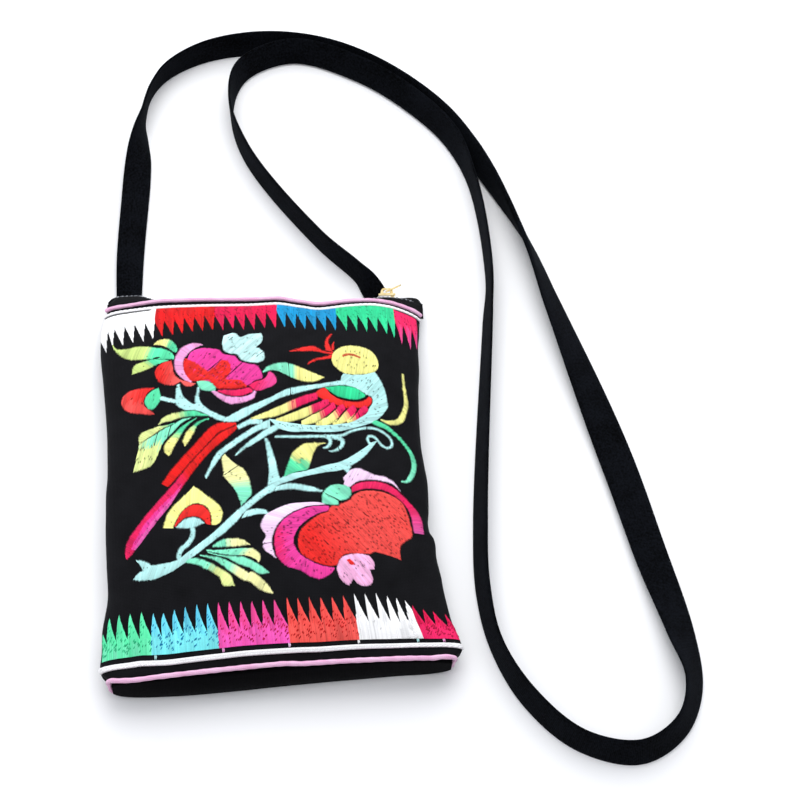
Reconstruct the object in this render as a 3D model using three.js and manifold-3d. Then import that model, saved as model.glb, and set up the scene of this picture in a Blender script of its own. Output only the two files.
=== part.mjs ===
import * as THREE from 'three';
import { mergeVertices } from 'three/addons/utils/BufferGeometryUtils.js';
import Module from 'manifold-3d';

// Embroidered crossbody bag lying on its back, in millimetres
// +Z out of the front, +Y towards the zip, the flat back on Z = 0, the pouch centred on X and Y

const wasm = await Module();
wasm.setup();

// Cloth and joins
const wall = 2;
const joinGap = 0.3;
const seamGap = 1.3; // between front and back along the side seams
const bottomEdge = -100;
const topEdge = 94.6;

// Pouch from the bottom edge to the zip: side seams, the front's height at mid width, heights of the seams
const sections = [
  { y: -100, left: -75.6, right: 75.4, crown: 17.6, seamLeft: 10.5, seamRight: 10, fullness: 2.7 },
  { y: -94, left: -79.4, right: 80.8, crown: 20.4, seamLeft: 11, seamRight: 10.5, fullness: 2.7 },
  { y: -80, left: -78.6, right: 80, crown: 24.2, seamLeft: 11, seamRight: 10.5, fullness: 2.7 },
  { y: -60, left: -75.8, right: 76.8, crown: 27.2, seamLeft: 10.8, seamRight: 10.4, fullness: 2.6 },
  { y: -36, left: -77.4, right: 76, crown: 29.3, seamLeft: 10.5, seamRight: 10.2, fullness: 2.6 },
  { y: -24, left: -77.8, right: 73.4, crown: 29.9, seamLeft: 10.3, seamRight: 10, fullness: 2.6 },
  { y: 15, left: -77.8, right: 73.4, crown: 30.6, seamLeft: 10, seamRight: 9.6, fullness: 2.6 },
  { y: 50, left: -79.4, right: 74.6, crown: 29.4, seamLeft: 9.4, seamRight: 8.8, fullness: 2.6 },
  { y: 70, left: -81.2, right: 75.6, crown: 25.6, seamLeft: 8.8, seamRight: 7.6, fullness: 2.6 },
  { y: 84, left: -81.4, right: 76.2, crown: 19.2, seamLeft: 8, seamRight: 6, fullness: 2.6 },
  { y: 94.6, left: -80.2, right: 76.6, crown: 12.6, seamLeft: 7, seamRight: 4.6, fullness: 2.7 },
];

// Top rim across the bag: how far each panel's edge runs past the top edge, and the front's dip
const rim = [
  { x: -82, front: -0.6, back: -0.6, dip: 0 },
  { x: -76, front: 0.4, back: 4.4, dip: 0 },
  { x: -68, front: 0.7, back: 6.4, dip: 0 },
  { x: -53, front: 0.8, back: 4.8, dip: 0 },
  { x: -33, front: 0.3, back: 4, dip: 0 },
  { x: -8, front: -0.3, back: 4.4, dip: 0 },
  { x: 4, front: 0.2, back: 4.4, dip: 0 },
  { x: 16, front: -1.8, back: 3, dip: 0.6 },
  { x: 25, front: -2.8, back: 1.8, dip: 1.6 },
  { x: 32, front: -2.4, back: 1.8, dip: 1.4 },
  { x: 42, front: -1.6, back: 2.6, dip: 0.5 },
  { x: 52, front: -0.8, back: 3.4, dip: 0 },
  { x: 61, front: -0.9, back: 2.8, dip: 0 },
  { x: 66, front: -2, back: 1.8, dip: 0 },
  { x: 72, front: -4.6, back: -1.6, dip: 0 },
  { x: 78, front: -8, back: -8.4, dip: 0 },
];
const rimReach = 0.14; // share of the panel's length that follows the rim
const backLift = 0.8; // the back's top edge is held up by the zip

// Bottom hem across the bag: how far each panel's edge is moved, and how far the bottom panel bulges
const hem = [
  { x: -80, front: -1.2, back: -1.2, bulge: 1.2 },
  { x: -46, front: -0.3, back: -2.2, bulge: 2.2 },
  { x: 5, front: 1.8, back: -1, bulge: 2.6 },
  { x: 38, front: 3, back: 1.4, bulge: 2 },
  { x: 58, front: 2.8, back: 2.4, bulge: 1 },
  { x: 82, front: 2, back: 2, bulge: 0.6 },
];
const hemReach = 0.12;

// Soft grooves in the front: middle, direction, half length, half width, depth
const folds = [
  { x: 70, y: -27, angle: 155, length: 14, width: 3.2, depth: 1.6 },
  { x: 58, y: 4, angle: 150, length: 16, width: 5, depth: 1.1 },
  { x: -72, y: -57, angle: 20, length: 12, width: 4, depth: 1 },
  { x: 26, y: 86, angle: 80, length: 12, width: 7, depth: 0.9 },
];

const backFlat = 0.74; // share of the back's half width that lies flat
const backRound = 2.2; // fullness of the turned-up sides
const bottomEnd = 0.975; // share of the width where the bottom panel stops short of the pointed ends
const bulgeFade = 4; // how late the bottom panel's bulge dies out towards the ends

// Trim along the edges of the front
const trims = {
  topPinkRadius: 1.2,
  topWhite: { from: 0.976, to: 0.993, thick: 0.9 },
  bottomWhite: { from: 0.018, to: 0.034, thick: 1 },
  bottomPinkRadius: 1.5,
  bottomPinkTurn: 0.03, // how far the pink piping turns down round the bottom corners
  bottomPinkLead: 1.2, // how far it sits past the front's edge, over the join with the bottom panel
  braidInset: 0.02, // shares of the width that keep the ends clear of the side seams
  pipingInset: 0.03,
};

// Ridge of the closed zip across the mouth
const ridge = [
  { x: -79, y: 98.4, z: 7 },
  { x: -74, y: 102.6, z: 7.4 },
  { x: -66, y: 102.4, z: 7.6 },
  { x: -53, y: 99.6, z: 7.2 },
  { x: -33, y: 98.2, z: 7 },
  { x: -8, y: 98.5, z: 6.8 },
  { x: 4, y: 98.5, z: 6.8 },
  { x: 16, y: 96.8, z: 6.6 },
  { x: 26, y: 95.4, z: 6.4 },
  { x: 33, y: 95.4, z: 6.4 },
  { x: 42, y: 96.4, z: 6.4 },
  { x: 51, y: 98, z: 6.5 },
  { x: 60, y: 98.6, z: 6.6 },
  { x: 70, y: 97.4, z: 6.1 },
  { x: 76, y: 94.6, z: 5.8 },
];
const zip = {
  from: -76,
  to: 72.5,
  tilt: 62, // degrees from straight up that the zip faces, towards +Y
  toothWide: 2,
  toothThick: 1.8,
  closed: 1.15, // half the distance between the two rows where they mesh
  open: 1.9, // the same past the slider
  partFrom: 55,
  partTo: 61,
  tapeThick: 0.8,
  tapeOut: 0.8, // how far the tapes stand off the panels' edges
  tapeDrop: 0.6, // the front tape's edge below the front's outside
  tapeRise: 1.6, // the back tape's edge above the back's outside
  tapeLean: 0.8, // most that the back tape leans in below the teeth, for each millimetre down
  endClose: 0.45, // share by which the rows close up again past the slider
  endFrom: 67,
};

// Slider and pull, in the slider's own frame: X along the zip, Y across it, Z out of it
const slider = {
  x: 60.5,
  long: 8.4,
  wide: 6.2,
  plate: 0.9,
  clear: 0.5, // between the plates and the teeth
  postLong: 1.8,
  postWide: 1.1,
  postAt: 2.9,
  bridgeLong: 6.4,
  bridgeWide: 2,
  bridgeHigh: 3,
  bridgeFlat: 0.3, // share of the bridge's length that is flat on top
  bridgeSink: 0.1, // how far the bridge's feet go into the plate
  holeLong: 3.4,
  holeHigh: 1.6,
  holeOver: 0.35, // between the plate and the hole under the bridge
  nose: 0.62, // share of its width at the end over the closed teeth
  shoulder: 0.2, // where the full width begins, as a share of half the length
};
const pull = {
  long: 8.6,
  wide: 4.6,
  thick: 0.8,
  bar: 0.9,
  windowLong: 4,
  windowWide: 2.8,
  round: 0.7, // share of half its width taken up by the rounded end
  rest: 24, // degrees off the zip, towards +X
};

// Strap laid on the floor: centre line, lean of its upper edge to the left of travel, width
const strapThick = 1.8;
const strapHeld = 2.2; // height of its sewn ends
const strapEnd = 0.016; // share of its length over which the ends come down
const strapOver = 0.1; // above the floor
const strapBevel = { wide: 0.075, thick: 0.3 }; // rounded edges, in shares of half width and half thickness
const strapRoute = [
  { x: -70, y: 103.2, lean: 6, width: 12.5 },
  { x: -70, y: 131, lean: 15, width: 14.5 },
  { x: -68.6, y: 165, lean: 16, width: 15 },
  { x: -67, y: 190, lean: 40, width: 15 },
  { x: -65.6, y: 206, lean: 72, width: 15 },
  { x: -63.4, y: 220, lean: 95, width: 15 },
  { x: -59.4, y: 234.5, lean: 94, width: 15 },
  { x: -50, y: 248.5, lean: 84, width: 15 },
  { x: -29, y: 262, lean: 72, width: 15 },
  { x: 3, y: 267.5, lean: 66, width: 15 },
  { x: 35, y: 262, lean: 62, width: 15 },
  { x: 64, y: 246, lean: 62, width: 15 },
  { x: 94, y: 217.5, lean: 63, width: 15 },
  { x: 111, y: 189.5, lean: 68, width: 15 },
  { x: 135.5, y: 131, lean: 104, width: 15 },
  { x: 145, y: 94, lean: 128, width: 15.5 },
  { x: 167, y: 4.5, lean: 172, width: 18 },
  { x: 176.6, y: -45, lean: 170, width: 17.5 },
  { x: 184.6, y: -86, lean: 150, width: 17 },
  { x: 187.4, y: -112, lean: 116, width: 15.5 },
  { x: 180, y: -131.5, lean: 106, width: 15 },
  { x: 160, y: -143.2, lean: 109, width: 15 },
  { x: 133, y: -136.5, lean: 112, width: 15 },
  { x: 112, y: -116, lean: 110, width: 15 },
  { x: 99.5, y: -90, lean: 104, width: 15 },
  { x: 95.6, y: -62, lean: 110, width: 14.5 },
  { x: 97, y: -25, lean: 112, width: 14.5 },
  { x: 110, y: 84, lean: 104, width: 14.5 },
  { x: 113.3, y: 112, lean: 97, width: 15 },
  { x: 109.8, y: 168, lean: 97, width: 15 },
  { x: 101, y: 200, lean: 112, width: 15 },
  { x: 81, y: 226, lean: 118, width: 15 },
  { x: 53, y: 248.5, lean: 119, width: 15 },
  { x: 18, y: 261.6, lean: 116, width: 15 },
  { x: -9, y: 249.5, lean: 110, width: 15 },
  { x: -16, y: 226, lean: 95, width: 15 },
  { x: -8, y: 192, lean: 82, width: 15 },
  { x: 28, y: 136, lean: 84, width: 15 },
  { x: 45.8, y: 115, lean: 86, width: 13.5 },
  { x: 54.6, y: 103.8, lean: 78, width: 12 },
];

// Facets
const frontFacets = { across: 34, along: 28 };
const backFacets = { across: 24, along: 16 };
const bottomFacets = { across: 28, up: 4 };
const trimFacets = 32;
const cornerFacets = 8;
const zipFacets = 36;
const strapFacets = 80;
const pipingSides = 4; // curve segments to a half turn

const lerp = THREE.MathUtils.lerp;
const radians = THREE.MathUtils.degToRad;

// Slope of a table's column at one row, flat at a high or low point
function slopeAt(rows, key, column, i) {
  const slope = (k) => (rows[k + 1][column] - rows[k][column]) / (rows[k + 1][key] - rows[k][key]);
  if (i === 0) return slope(0);
  if (i === rows.length - 1) return slope(i - 1);
  const before = slope(i - 1);
  const after = slope(i);
  return before * after <= 0 ? 0 : (2 * before * after) / (before + after);
}

// Smooth reading of a column between the rows of a table
function readColumn(rows, key, column, at) {
  const next = rows.findIndex((row, k) => k > 0 && at <= row[key]);
  const i = next < 0 ? rows.length - 1 : next;
  const step = rows[i][key] - rows[i - 1][key];
  const f = THREE.MathUtils.clamp((at - rows[i - 1][key]) / step, 0, 1);
  const start = slopeAt(rows, key, column, i - 1) * step;
  const end = slopeAt(rows, key, column, i) * step;
  const low = rows[i - 1][column];
  const high = rows[i][column];
  const rise = f * f * (3 - 2 * f);
  return low + (high - low) * rise + start * f * (1 - f) ** 2 - end * f * f * (1 - f);
}

// One cross-section of the pouch at a height along the bag, at a place from -1 to 1 across
function crossSection(level, place) {
  const side = (1 + place) / 2;
  const read = (column) => readColumn(sections, 'y', column, level);
  const fullness = read('fullness');
  return {
    x: lerp(read('left'), read('right'), side),
    seam: lerp(read('seamLeft'), read('seamRight'), side),
    crown: read('crown'),
    swell: Math.max(1 - Math.abs(place) ** fullness, 0) ** (1 / fullness),
  };
}

// How much of the rim's and hem's own line a point follows
function edgeShares(along) {
  return {
    top: THREE.MathUtils.smoothstep(along, 1 - rimReach, 1),
    bottom: 1 - THREE.MathUtils.smoothstep(along, 0, hemReach),
  };
}

function foldDepth(x, y) {
  return folds.reduce((sum, fold) => {
    const dx = x - fold.x;
    const dy = y - fold.y;
    const run = dx * Math.cos(radians(fold.angle)) + dy * Math.sin(radians(fold.angle));
    const off = dy * Math.cos(radians(fold.angle)) - dx * Math.sin(radians(fold.angle));
    return sum + fold.depth * Math.exp(-((run / fold.length) ** 2) - (off / fold.width) ** 2);
  }, 0);
}

// How far a panel's edge line moves a point along the bag
function edgeShift(share, panel, x) {
  return share.top * readColumn(rim, 'x', panel, x) + share.bottom * readColumn(hem, 'x', panel, x);
}

// Outside of the front: place from -1 to 1 across, along from 0 at the hem to 1 at the zip
function frontAt(place, along) {
  const level = lerp(bottomEdge, topEdge, along);
  const cut = crossSection(level, place);
  const share = edgeShares(along);
  const y = level + edgeShift(share, 'front', cut.x);
  const dip = share.top * readColumn(rim, 'x', 'dip', cut.x) + foldDepth(cut.x, level);
  return new THREE.Vector3(cut.x, y, lerp(cut.seam, cut.crown - dip, cut.swell));
}

// Outside of the back, flat on the floor and turned up to the side seams
function backAt(place, along) {
  const level = lerp(bottomEdge, topEdge, along);
  const cut = crossSection(level, place);
  const share = edgeShares(along);
  const y = level + edgeShift(share, 'back', cut.x);
  const bend = Math.max((Math.abs(place) - backFlat) / (1 - backFlat), 0);
  const turned = 1 - Math.max(1 - bend ** backRound, 0) ** (1 / backRound);
  const lift = backLift * share.top ** 2 * (1 - turned);
  return new THREE.Vector3(cut.x, y, (cut.seam - seamGap) * turned + lift);
}

// Places across the pouch, closer together towards the side seams
function placeAt(share) {
  return Math.sin((Math.PI / 2) * (2 * share - 1));
}

// Unit normal of a surface given by two shares from 0 to 1
function normalAt(surface, u, v) {
  const nudge = 0.012;
  const across = surface(Math.min(u + nudge, 1), v).sub(surface(Math.max(u - nudge, 0), v));
  const along = surface(u, Math.min(v + nudge, 1)).sub(surface(u, Math.max(v - nudge, 0)));
  return across.cross(along).normalize();
}

// Closed sheet between two grids of points: its two faces and the strip round its edge
function sheet(columns, rows, topFace, lowFace) {
  const points = [];
  const faces = [];
  const wide = columns + 1;
  const layer = wide * (rows + 1);
  [topFace, lowFace].forEach((face) => {
    for (let j = 0; j <= rows; j += 1) {
      for (let i = 0; i <= columns; i += 1) points.push(...face(i / columns, j / rows).toArray());
    }
  });
  const quad = (a, b, c, d) => faces.push(a, b, c, a, c, d);
  for (let j = 0; j < rows; j += 1) {
    for (let i = 0; i < columns; i += 1) {
      const a = j * wide + i;
      quad(a, a + 1, a + 1 + wide, a + wide);
      quad(layer + a, layer + a + wide, layer + a + 1 + wide, layer + a + 1);
    }
  }
  for (let i = 0; i < columns; i += 1) {
    const far = rows * wide + i;
    quad(i, layer + i, layer + i + 1, i + 1);
    quad(far, far + 1, layer + far + 1, layer + far);
  }
  for (let j = 0; j < rows; j += 1) {
    const near = j * wide;
    const end = near + columns;
    quad(near, near + wide, layer + near + wide, layer + near);
    quad(end, layer + end, layer + end + wide, end + wide);
  }
  const geometry = new THREE.BufferGeometry();
  geometry.setAttribute('position', new THREE.Float32BufferAttribute(points, 3));
  geometry.setIndex(faces);
  geometry.computeVertexNormals();
  return geometry;
}

// Sheet whose top face is a surface moved out by one distance and its low face by another
function skin(columns, rows, surface, outer, inner) {
  const moved = (distance) => (u, v) => surface(u, v).addScaledVector(normalAt(surface, u, v), distance);
  return sheet(columns, rows, moved(outer), moved(inner));
}

// Round cord along a list of points
function cord(points, radius, steps) {
  const section = new THREE.Shape().absarc(0, 0, radius, 0, 2 * Math.PI);
  const extrudePath = new THREE.CatmullRomCurve3(points);
  const settings = { steps, extrudePath, curveSegments: pipingSides, bevelEnabled: false };
  return new THREE.ExtrudeGeometry(section, settings);
}

function addPiece(parent, name, geometry, look) {
  const piece = new THREE.Mesh(geometry, new THREE.MeshStandardMaterial(look));
  piece.name = name;
  parent.add(piece);
  return piece;
}

// Looks of the materials
const looks = {
  cotton: { color: 0x1b1b1e, roughness: 0.9, metalness: 0 },
  webbing: { color: 0x17181c, roughness: 0.85, metalness: 0 },
  tape: { color: 0x141416, roughness: 0.85, metalness: 0 },
  white: { color: 0xf4f1ee, roughness: 0.75, metalness: 0 },
  pink: { color: 0xf06fb4, roughness: 0.75, metalness: 0 },
  steel: { color: 0xc8c9cc, roughness: 0.35, metalness: 1 },
  gold: { color: 0xd9b865, roughness: 0.3, metalness: 1 },
};

const bag = new THREE.Group();

// Panels of the pouch
const frontSurface = (u, v) => frontAt(placeAt(u), v);
const backSurface = (u, v) => backAt(placeAt(1 - u), v);
const frontPanel = skin(frontFacets.across, frontFacets.along, frontSurface, 0, -wall);
const backPanel = skin(backFacets.across, backFacets.along, backSurface, 0, -wall);
addPiece(bag, 'front_panel', frontPanel, looks.cotton);
addPiece(bag, 'back_panel', backPanel, looks.cotton);

// Bottom panel, a lens between the hem of the front and the hem of the back
function bottomAt(u, v, depth) {
  const place = bottomEnd * placeAt(u);
  const point = backAt(place, 0).lerp(frontAt(place, 0), v);
  const bulge = readColumn(hem, 'x', 'bulge', point.x) * Math.sin(Math.PI * v) * (1 - place ** bulgeFade);
  point.y -= joinGap + depth + bulge;
  return point;
}
const bottomFace = (depth) => (u, v) => bottomAt(u, v, depth);
const bottomPanel = sheet(bottomFacets.across, bottomFacets.up, bottomFace(wall), bottomFace(0));
addPiece(bag, 'bottom_panel', bottomPanel, looks.cotton);

// Braids on the front
function braid(band) {
  const surface = (u, v) => frontAt(placeAt(u), lerp(band.from, band.to, v));
  const face = (u, v) => surface(lerp(trims.braidInset, 1 - trims.braidInset, u), v);
  return skin(trimFacets, 2, face, joinGap + band.thick, joinGap);
}
addPiece(bag, 'braid_top_white', braid(trims.topWhite), looks.white);
addPiece(bag, 'braid_bottom_white', braid(trims.bottomWhite), looks.white);

// Piping on the top edge of the front
function topPiping() {
  const radius = trims.topPinkRadius;
  const points = [];
  for (let i = 0; i <= trimFacets; i += 1) {
    const share = lerp(trims.pipingInset, 1 - trims.pipingInset, i / trimFacets);
    const edge = frontSurface(share, 1);
    points.push(edge.addScaledVector(normalAt(frontSurface, share, 1), radius + 1.5 * joinGap));
  }
  return cord(points, radius, trimFacets);
}
addPiece(bag, 'piping_top_pink', topPiping(), looks.pink);

// Outline of the bottom: the front's hem, then the back's hem round both corners, from -1 to 1
function bottomOutline(k) {
  const whole = k * (1 + trims.bottomPinkTurn);
  if (Math.abs(whole) <= 1) return frontAt(placeAt((1 + whole) / 2), 0);
  return backAt(Math.sign(whole) * (2 - Math.abs(whole)), 0);
}

// Piping on the bottom edge, turned down round both corners
function bottomPiping() {
  const out = trims.bottomPinkRadius + 2.5 * joinGap;
  const steps = trimFacets + cornerFacets;
  const nudge = 0.02;
  const points = [];
  for (let i = 0; i <= steps; i += 1) {
    const k = (2 * i) / steps - 1;
    const run = bottomOutline(Math.min(k + nudge, 1)).sub(bottomOutline(Math.max(k - nudge, -1)));
    const away = new THREE.Vector3(-run.z, 0, run.x).normalize();
    const point = bottomOutline(k).addScaledVector(away, out);
    point.y -= trims.bottomPinkLead;
    points.push(point);
  }
  return cord(points, trims.bottomPinkRadius, steps);
}
addPiece(bag, 'piping_bottom_pink', bottomPiping(), looks.pink);

// Zip: directions across the tape and out of it
const zipOut = new THREE.Vector3(0, Math.sin(radians(zip.tilt)), Math.cos(radians(zip.tilt)));
const zipAcross = new THREE.Vector3(0, Math.cos(radians(zip.tilt)), -Math.sin(radians(zip.tilt)));

function ridgeAt(x) {
  return new THREE.Vector3(x, readColumn(ridge, 'x', 'y', x), readColumn(ridge, 'x', 'z', x));
}

// Middle of one row of teeth: side -1 is the front's row, 1 the back's
function teethAt(x, side) {
  const parted = THREE.MathUtils.smoothstep(x, zip.partFrom, zip.partTo);
  const end = 1 - zip.endClose * THREE.MathUtils.smoothstep(x, zip.endFrom, zip.to);
  return ridgeAt(x).addScaledVector(zipAcross, side * lerp(zip.closed, zip.open * end, parted));
}

function teeth(side) {
  const face = (out) => (u, v) => {
    const x = lerp(zip.from, zip.to, u);
    const across = (v - 0.5) * zip.toothWide;
    return teethAt(x, side).addScaledVector(zipAcross, across).addScaledVector(zipOut, out);
  };
  return sheet(zipFacets, 1, face(zip.toothThick / 2), face(-zip.toothThick / 2));
}

// Place across the pouch that has a given X at the mouth
function mouthPlace(x) {
  const left = sections.at(-1).left;
  const right = sections.at(-1).right;
  return (2 * (x - left)) / (right - left) - 1;
}

function tape(side) {
  const rimEdge = (x, inner) => {
    const place = mouthPlace(x);
    const front = frontAt(place, 1);
    const back = backAt(place, 1);
    if (side < 0) return new THREE.Vector3(x, front.y + zip.tapeOut, front.z - zip.tapeDrop);
    const z = back.z + zip.tapeRise;
    const leastY = inner.y - zip.tapeLean * (inner.z - z);
    return new THREE.Vector3(x, Math.max(back.y + zip.tapeOut, leastY), z);
  };
  const face = (out) => (u, v) => {
    const x = lerp(zip.from, zip.to, u);
    const inner = teethAt(x, side).addScaledVector(zipAcross, side * (zip.toothWide / 2 + joinGap));
    const outer = rimEdge(x, inner);
    const point = side < 0 ? outer.lerp(inner, v) : inner.lerp(outer, v);
    return point.addScaledVector(zipOut, out);
  };
  return sheet(zipFacets, 2, face(zip.tapeThick / 2), face(-zip.tapeThick / 2));
}
addPiece(bag, 'zip_tape_front', tape(-1), looks.tape);
addPiece(bag, 'zip_tape_back', tape(1), looks.tape);
addPiece(bag, 'zip_teeth_front', teeth(-1), looks.steel);
addPiece(bag, 'zip_teeth_back', teeth(1), looks.steel);

// Solids for joining and cutting
function solidOf(geometry) {
  const bare = geometry.clone();
  bare.deleteAttribute('normal');
  bare.deleteAttribute('uv');
  const merged = mergeVertices(bare);
  const vertProperties = merged.attributes.position.array;
  return new wasm.Manifold(new wasm.Mesh({ numProp: 3, vertProperties, triVerts: merged.index.array }));
}

function geometryOf(solid) {
  const mesh = solid.getMesh();
  const geometry = new THREE.BufferGeometry();
  geometry.setAttribute('position', new THREE.BufferAttribute(mesh.vertProperties, 3));
  geometry.setIndex(new THREE.BufferAttribute(mesh.triVerts, 1));
  geometry.computeVertexNormals();
  return geometry;
}

function block(long, wide, high, x, y, z) {
  return solidOf(new THREE.BoxGeometry(long, wide, high).translate(x, y, z));
}

// Slider plate, pointed towards the closed teeth
function sliderPlate(low) {
  const half = slider.long / 2;
  const side = slider.wide / 2;
  const outline = new THREE.Shape();
  outline.moveTo(-half, -side * slider.nose);
  outline.lineTo(-half, side * slider.nose);
  outline.lineTo(-half * slider.shoulder, side);
  outline.lineTo(half, side);
  outline.lineTo(half, -side);
  outline.lineTo(-half * slider.shoulder, -side);
  outline.closePath();
  const plate = new THREE.ExtrudeGeometry(outline, { depth: slider.plate, bevelEnabled: false });
  return solidOf(plate.translate(0, 0, low));
}

// Height of the outer plate's inside above the middle of the teeth
const plateInside = zip.toothThick / 2 + slider.clear;
const plateOutside = plateInside + slider.plate;

function sliderBridge() {
  const half = slider.bridgeLong / 2;
  const flat = half * slider.bridgeFlat;
  const arch = new THREE.Shape();
  arch.moveTo(-half, 0);
  arch.lineTo(half, 0);
  arch.quadraticCurveTo(half, slider.bridgeHigh, flat, slider.bridgeHigh);
  arch.lineTo(-flat, slider.bridgeHigh);
  arch.quadraticCurveTo(-half, slider.bridgeHigh, -half, 0);
  const settings = { depth: slider.bridgeWide, curveSegments: 5, bevelEnabled: false };
  const bar = new THREE.ExtrudeGeometry(arch, settings);
  bar.rotateX(Math.PI / 2).translate(0, slider.bridgeWide / 2, plateOutside - slider.bridgeSink);
  return solidOf(bar);
}

const holeMiddle = plateOutside + slider.holeOver + slider.holeHigh / 2;

function sliderBody() {
  const postHigh = 2 * plateInside + slider.plate;
  const post = block(slider.postLong, slider.postWide, postHigh, slider.postAt, 0, 0);
  const hole = block(slider.holeLong, 2 * slider.bridgeWide, slider.holeHigh, 0, 0, holeMiddle);
  const plates = sliderPlate(plateInside).add(sliderPlate(-plateOutside));
  return plates.add(post).add(sliderBridge()).subtract(hole);
}

// Pull: flat tab with a window, its end bar passing under the bridge
function pullTab() {
  const side = pull.wide / 2;
  const back = pull.bar / 2;
  const tip = pull.long - back;
  const turn = tip - side * pull.round;
  const tab = new THREE.Shape();
  tab.moveTo(-back, -side);
  tab.lineTo(turn, -side);
  tab.quadraticCurveTo(tip, -side, tip, 0);
  tab.quadraticCurveTo(tip, side, turn, side);
  tab.lineTo(-back, side);
  tab.closePath();
  const opening = new THREE.Path();
  opening.moveTo(back, -pull.windowWide / 2);
  opening.lineTo(back, pull.windowWide / 2);
  opening.lineTo(back + pull.windowLong, pull.windowWide / 2);
  opening.lineTo(back + pull.windowLong, -pull.windowWide / 2);
  opening.closePath();
  tab.holes.push(opening);
  const settings = { depth: pull.thick, curveSegments: 5, bevelEnabled: false };
  const plate = new THREE.ExtrudeGeometry(tab, settings);
  return plate.translate(0, 0, -pull.thick / 2);
}

// The slider's group stands on the ridge, turned with the zip's own line there
const sliderGroup = new THREE.Group();
const sliderSpan = 3;
const zipRun = ridgeAt(slider.x + sliderSpan).sub(ridgeAt(slider.x - sliderSpan)).normalize();
const sliderOut = zipOut.clone().addScaledVector(zipRun, -zipOut.dot(zipRun)).normalize();
const sliderAcross = sliderOut.clone().cross(zipRun);
sliderGroup.position.copy(ridgeAt(slider.x));
const sliderFrame = new THREE.Matrix4().makeBasis(zipRun, sliderAcross, sliderOut);
sliderGroup.quaternion.setFromRotationMatrix(sliderFrame);
addPiece(sliderGroup, 'zip_slider', geometryOf(sliderBody()), looks.gold);
const zipPull = addPiece(sliderGroup, 'zip_pull', pullTab(), looks.gold);
zipPull.position.set(0, 0, holeMiddle);
zipPull.rotation.y = -radians(pull.rest);
bag.add(sliderGroup);

// Strap: a flat band swept along its route, its lower edge on the floor
function strapBand() {
  const curve = new THREE.CatmullRomCurve3(strapRoute.map((row) => new THREE.Vector3(row.x, row.y, 0)));
  const rows = strapRoute.map((row, number) => ({ ...row, number }));
  const edge = 1 - strapBevel.wide;
  const side = strapBevel.thick;
  const lower = [[-1, -side], [-edge, -1], [edge, -1], [1, -side]];
  const section = [...lower, ...lower.map(([a, b]) => [-a, -b])];
  const ring = (share) => {
    const t = THREE.MathUtils.clamp(share, 0, 1);
    const point = curve.getPoint(t);
    const run = curve.getTangent(t);
    const number = t * (rows.length - 1);
    const lean = radians(readColumn(rows, 'number', 'lean', number));
    const half = readColumn(rows, 'number', 'width', number) / 2;
    const left = new THREE.Vector3(-run.y, run.x, 0);
    const wide = left.clone().multiplyScalar(Math.cos(lean)).setZ(Math.sin(lean));
    const thick = left.clone().multiplyScalar(-Math.sin(lean)).setZ(Math.cos(lean));
    const rise = half * Math.abs(Math.sin(lean)) + (strapThick / 2) * Math.abs(Math.cos(lean));
    const laid = rise + strapOver;
    const held = 1 - THREE.MathUtils.smoothstep(Math.min(t, 1 - t), 0, strapEnd);
    const centre = new THREE.Vector3(point.x, point.y, lerp(laid, Math.max(laid, strapHeld), held));
    return section.map(([a, b]) =>
      centre.clone().addScaledVector(wide, a * half).addScaledVector(thick, (b * strapThick) / 2),
    );
  };
  const points = [];
  const faces = [];
  const sides = section.length;
  for (let i = 0; i <= strapFacets; i += 1) {
    ring(i / strapFacets).forEach((point) => points.push(...point.toArray()));
  }
  for (let i = 0; i < strapFacets; i += 1) {
    for (let k = 0; k < sides; k += 1) {
      const a = i * sides + k;
      const b = i * sides + ((k + 1) % sides);
      faces.push(a, b, b + sides, a, b + sides, a + sides);
    }
  }
  const last = strapFacets * sides;
  for (let k = 1; k < sides - 1; k += 1) {
    faces.push(0, k + 1, k);
    faces.push(last, last + k, last + k + 1);
  }
  const geometry = new THREE.BufferGeometry();
  geometry.setAttribute('position', new THREE.Float32BufferAttribute(points, 3));
  geometry.setIndex(faces);
  geometry.computeVertexNormals();
  return geometry;
}
addPiece(bag, 'strap', strapBand(), looks.webbing);

export default bag;
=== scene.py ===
import bpy
import math
import numpy as np
from mathutils import Matrix


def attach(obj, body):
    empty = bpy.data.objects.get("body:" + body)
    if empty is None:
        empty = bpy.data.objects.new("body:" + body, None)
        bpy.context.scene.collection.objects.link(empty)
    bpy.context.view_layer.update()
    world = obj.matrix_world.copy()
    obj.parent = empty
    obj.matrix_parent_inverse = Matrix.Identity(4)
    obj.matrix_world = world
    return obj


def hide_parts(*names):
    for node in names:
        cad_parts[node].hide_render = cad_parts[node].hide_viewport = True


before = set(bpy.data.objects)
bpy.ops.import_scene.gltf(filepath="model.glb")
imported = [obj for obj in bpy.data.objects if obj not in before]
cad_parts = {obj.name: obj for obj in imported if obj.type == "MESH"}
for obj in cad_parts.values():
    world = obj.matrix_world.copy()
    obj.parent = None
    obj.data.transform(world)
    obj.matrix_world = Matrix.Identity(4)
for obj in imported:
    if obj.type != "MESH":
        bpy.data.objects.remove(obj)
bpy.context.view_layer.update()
scene = bpy.context.scene
mm = 0.001  # every measure below is in millimetres, the Blender scene is in metres
chance = np.random.default_rng(11)

# Camera at the photograph's angle; its frame is 800 x 800
cameraView = {"focal": 1650, "frame": 800, "elevation": 61, "heading": 8, "roll": 5,
              "distance": 818, "target": (64, 43, 0), "sensor": 36, "nearest": 10}


def standing(axes, place):
    return Matrix([[*row, spot] for row, spot in zip(np.stack(axes, 1), place)] + [[0, 0, 0, 1]])


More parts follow.
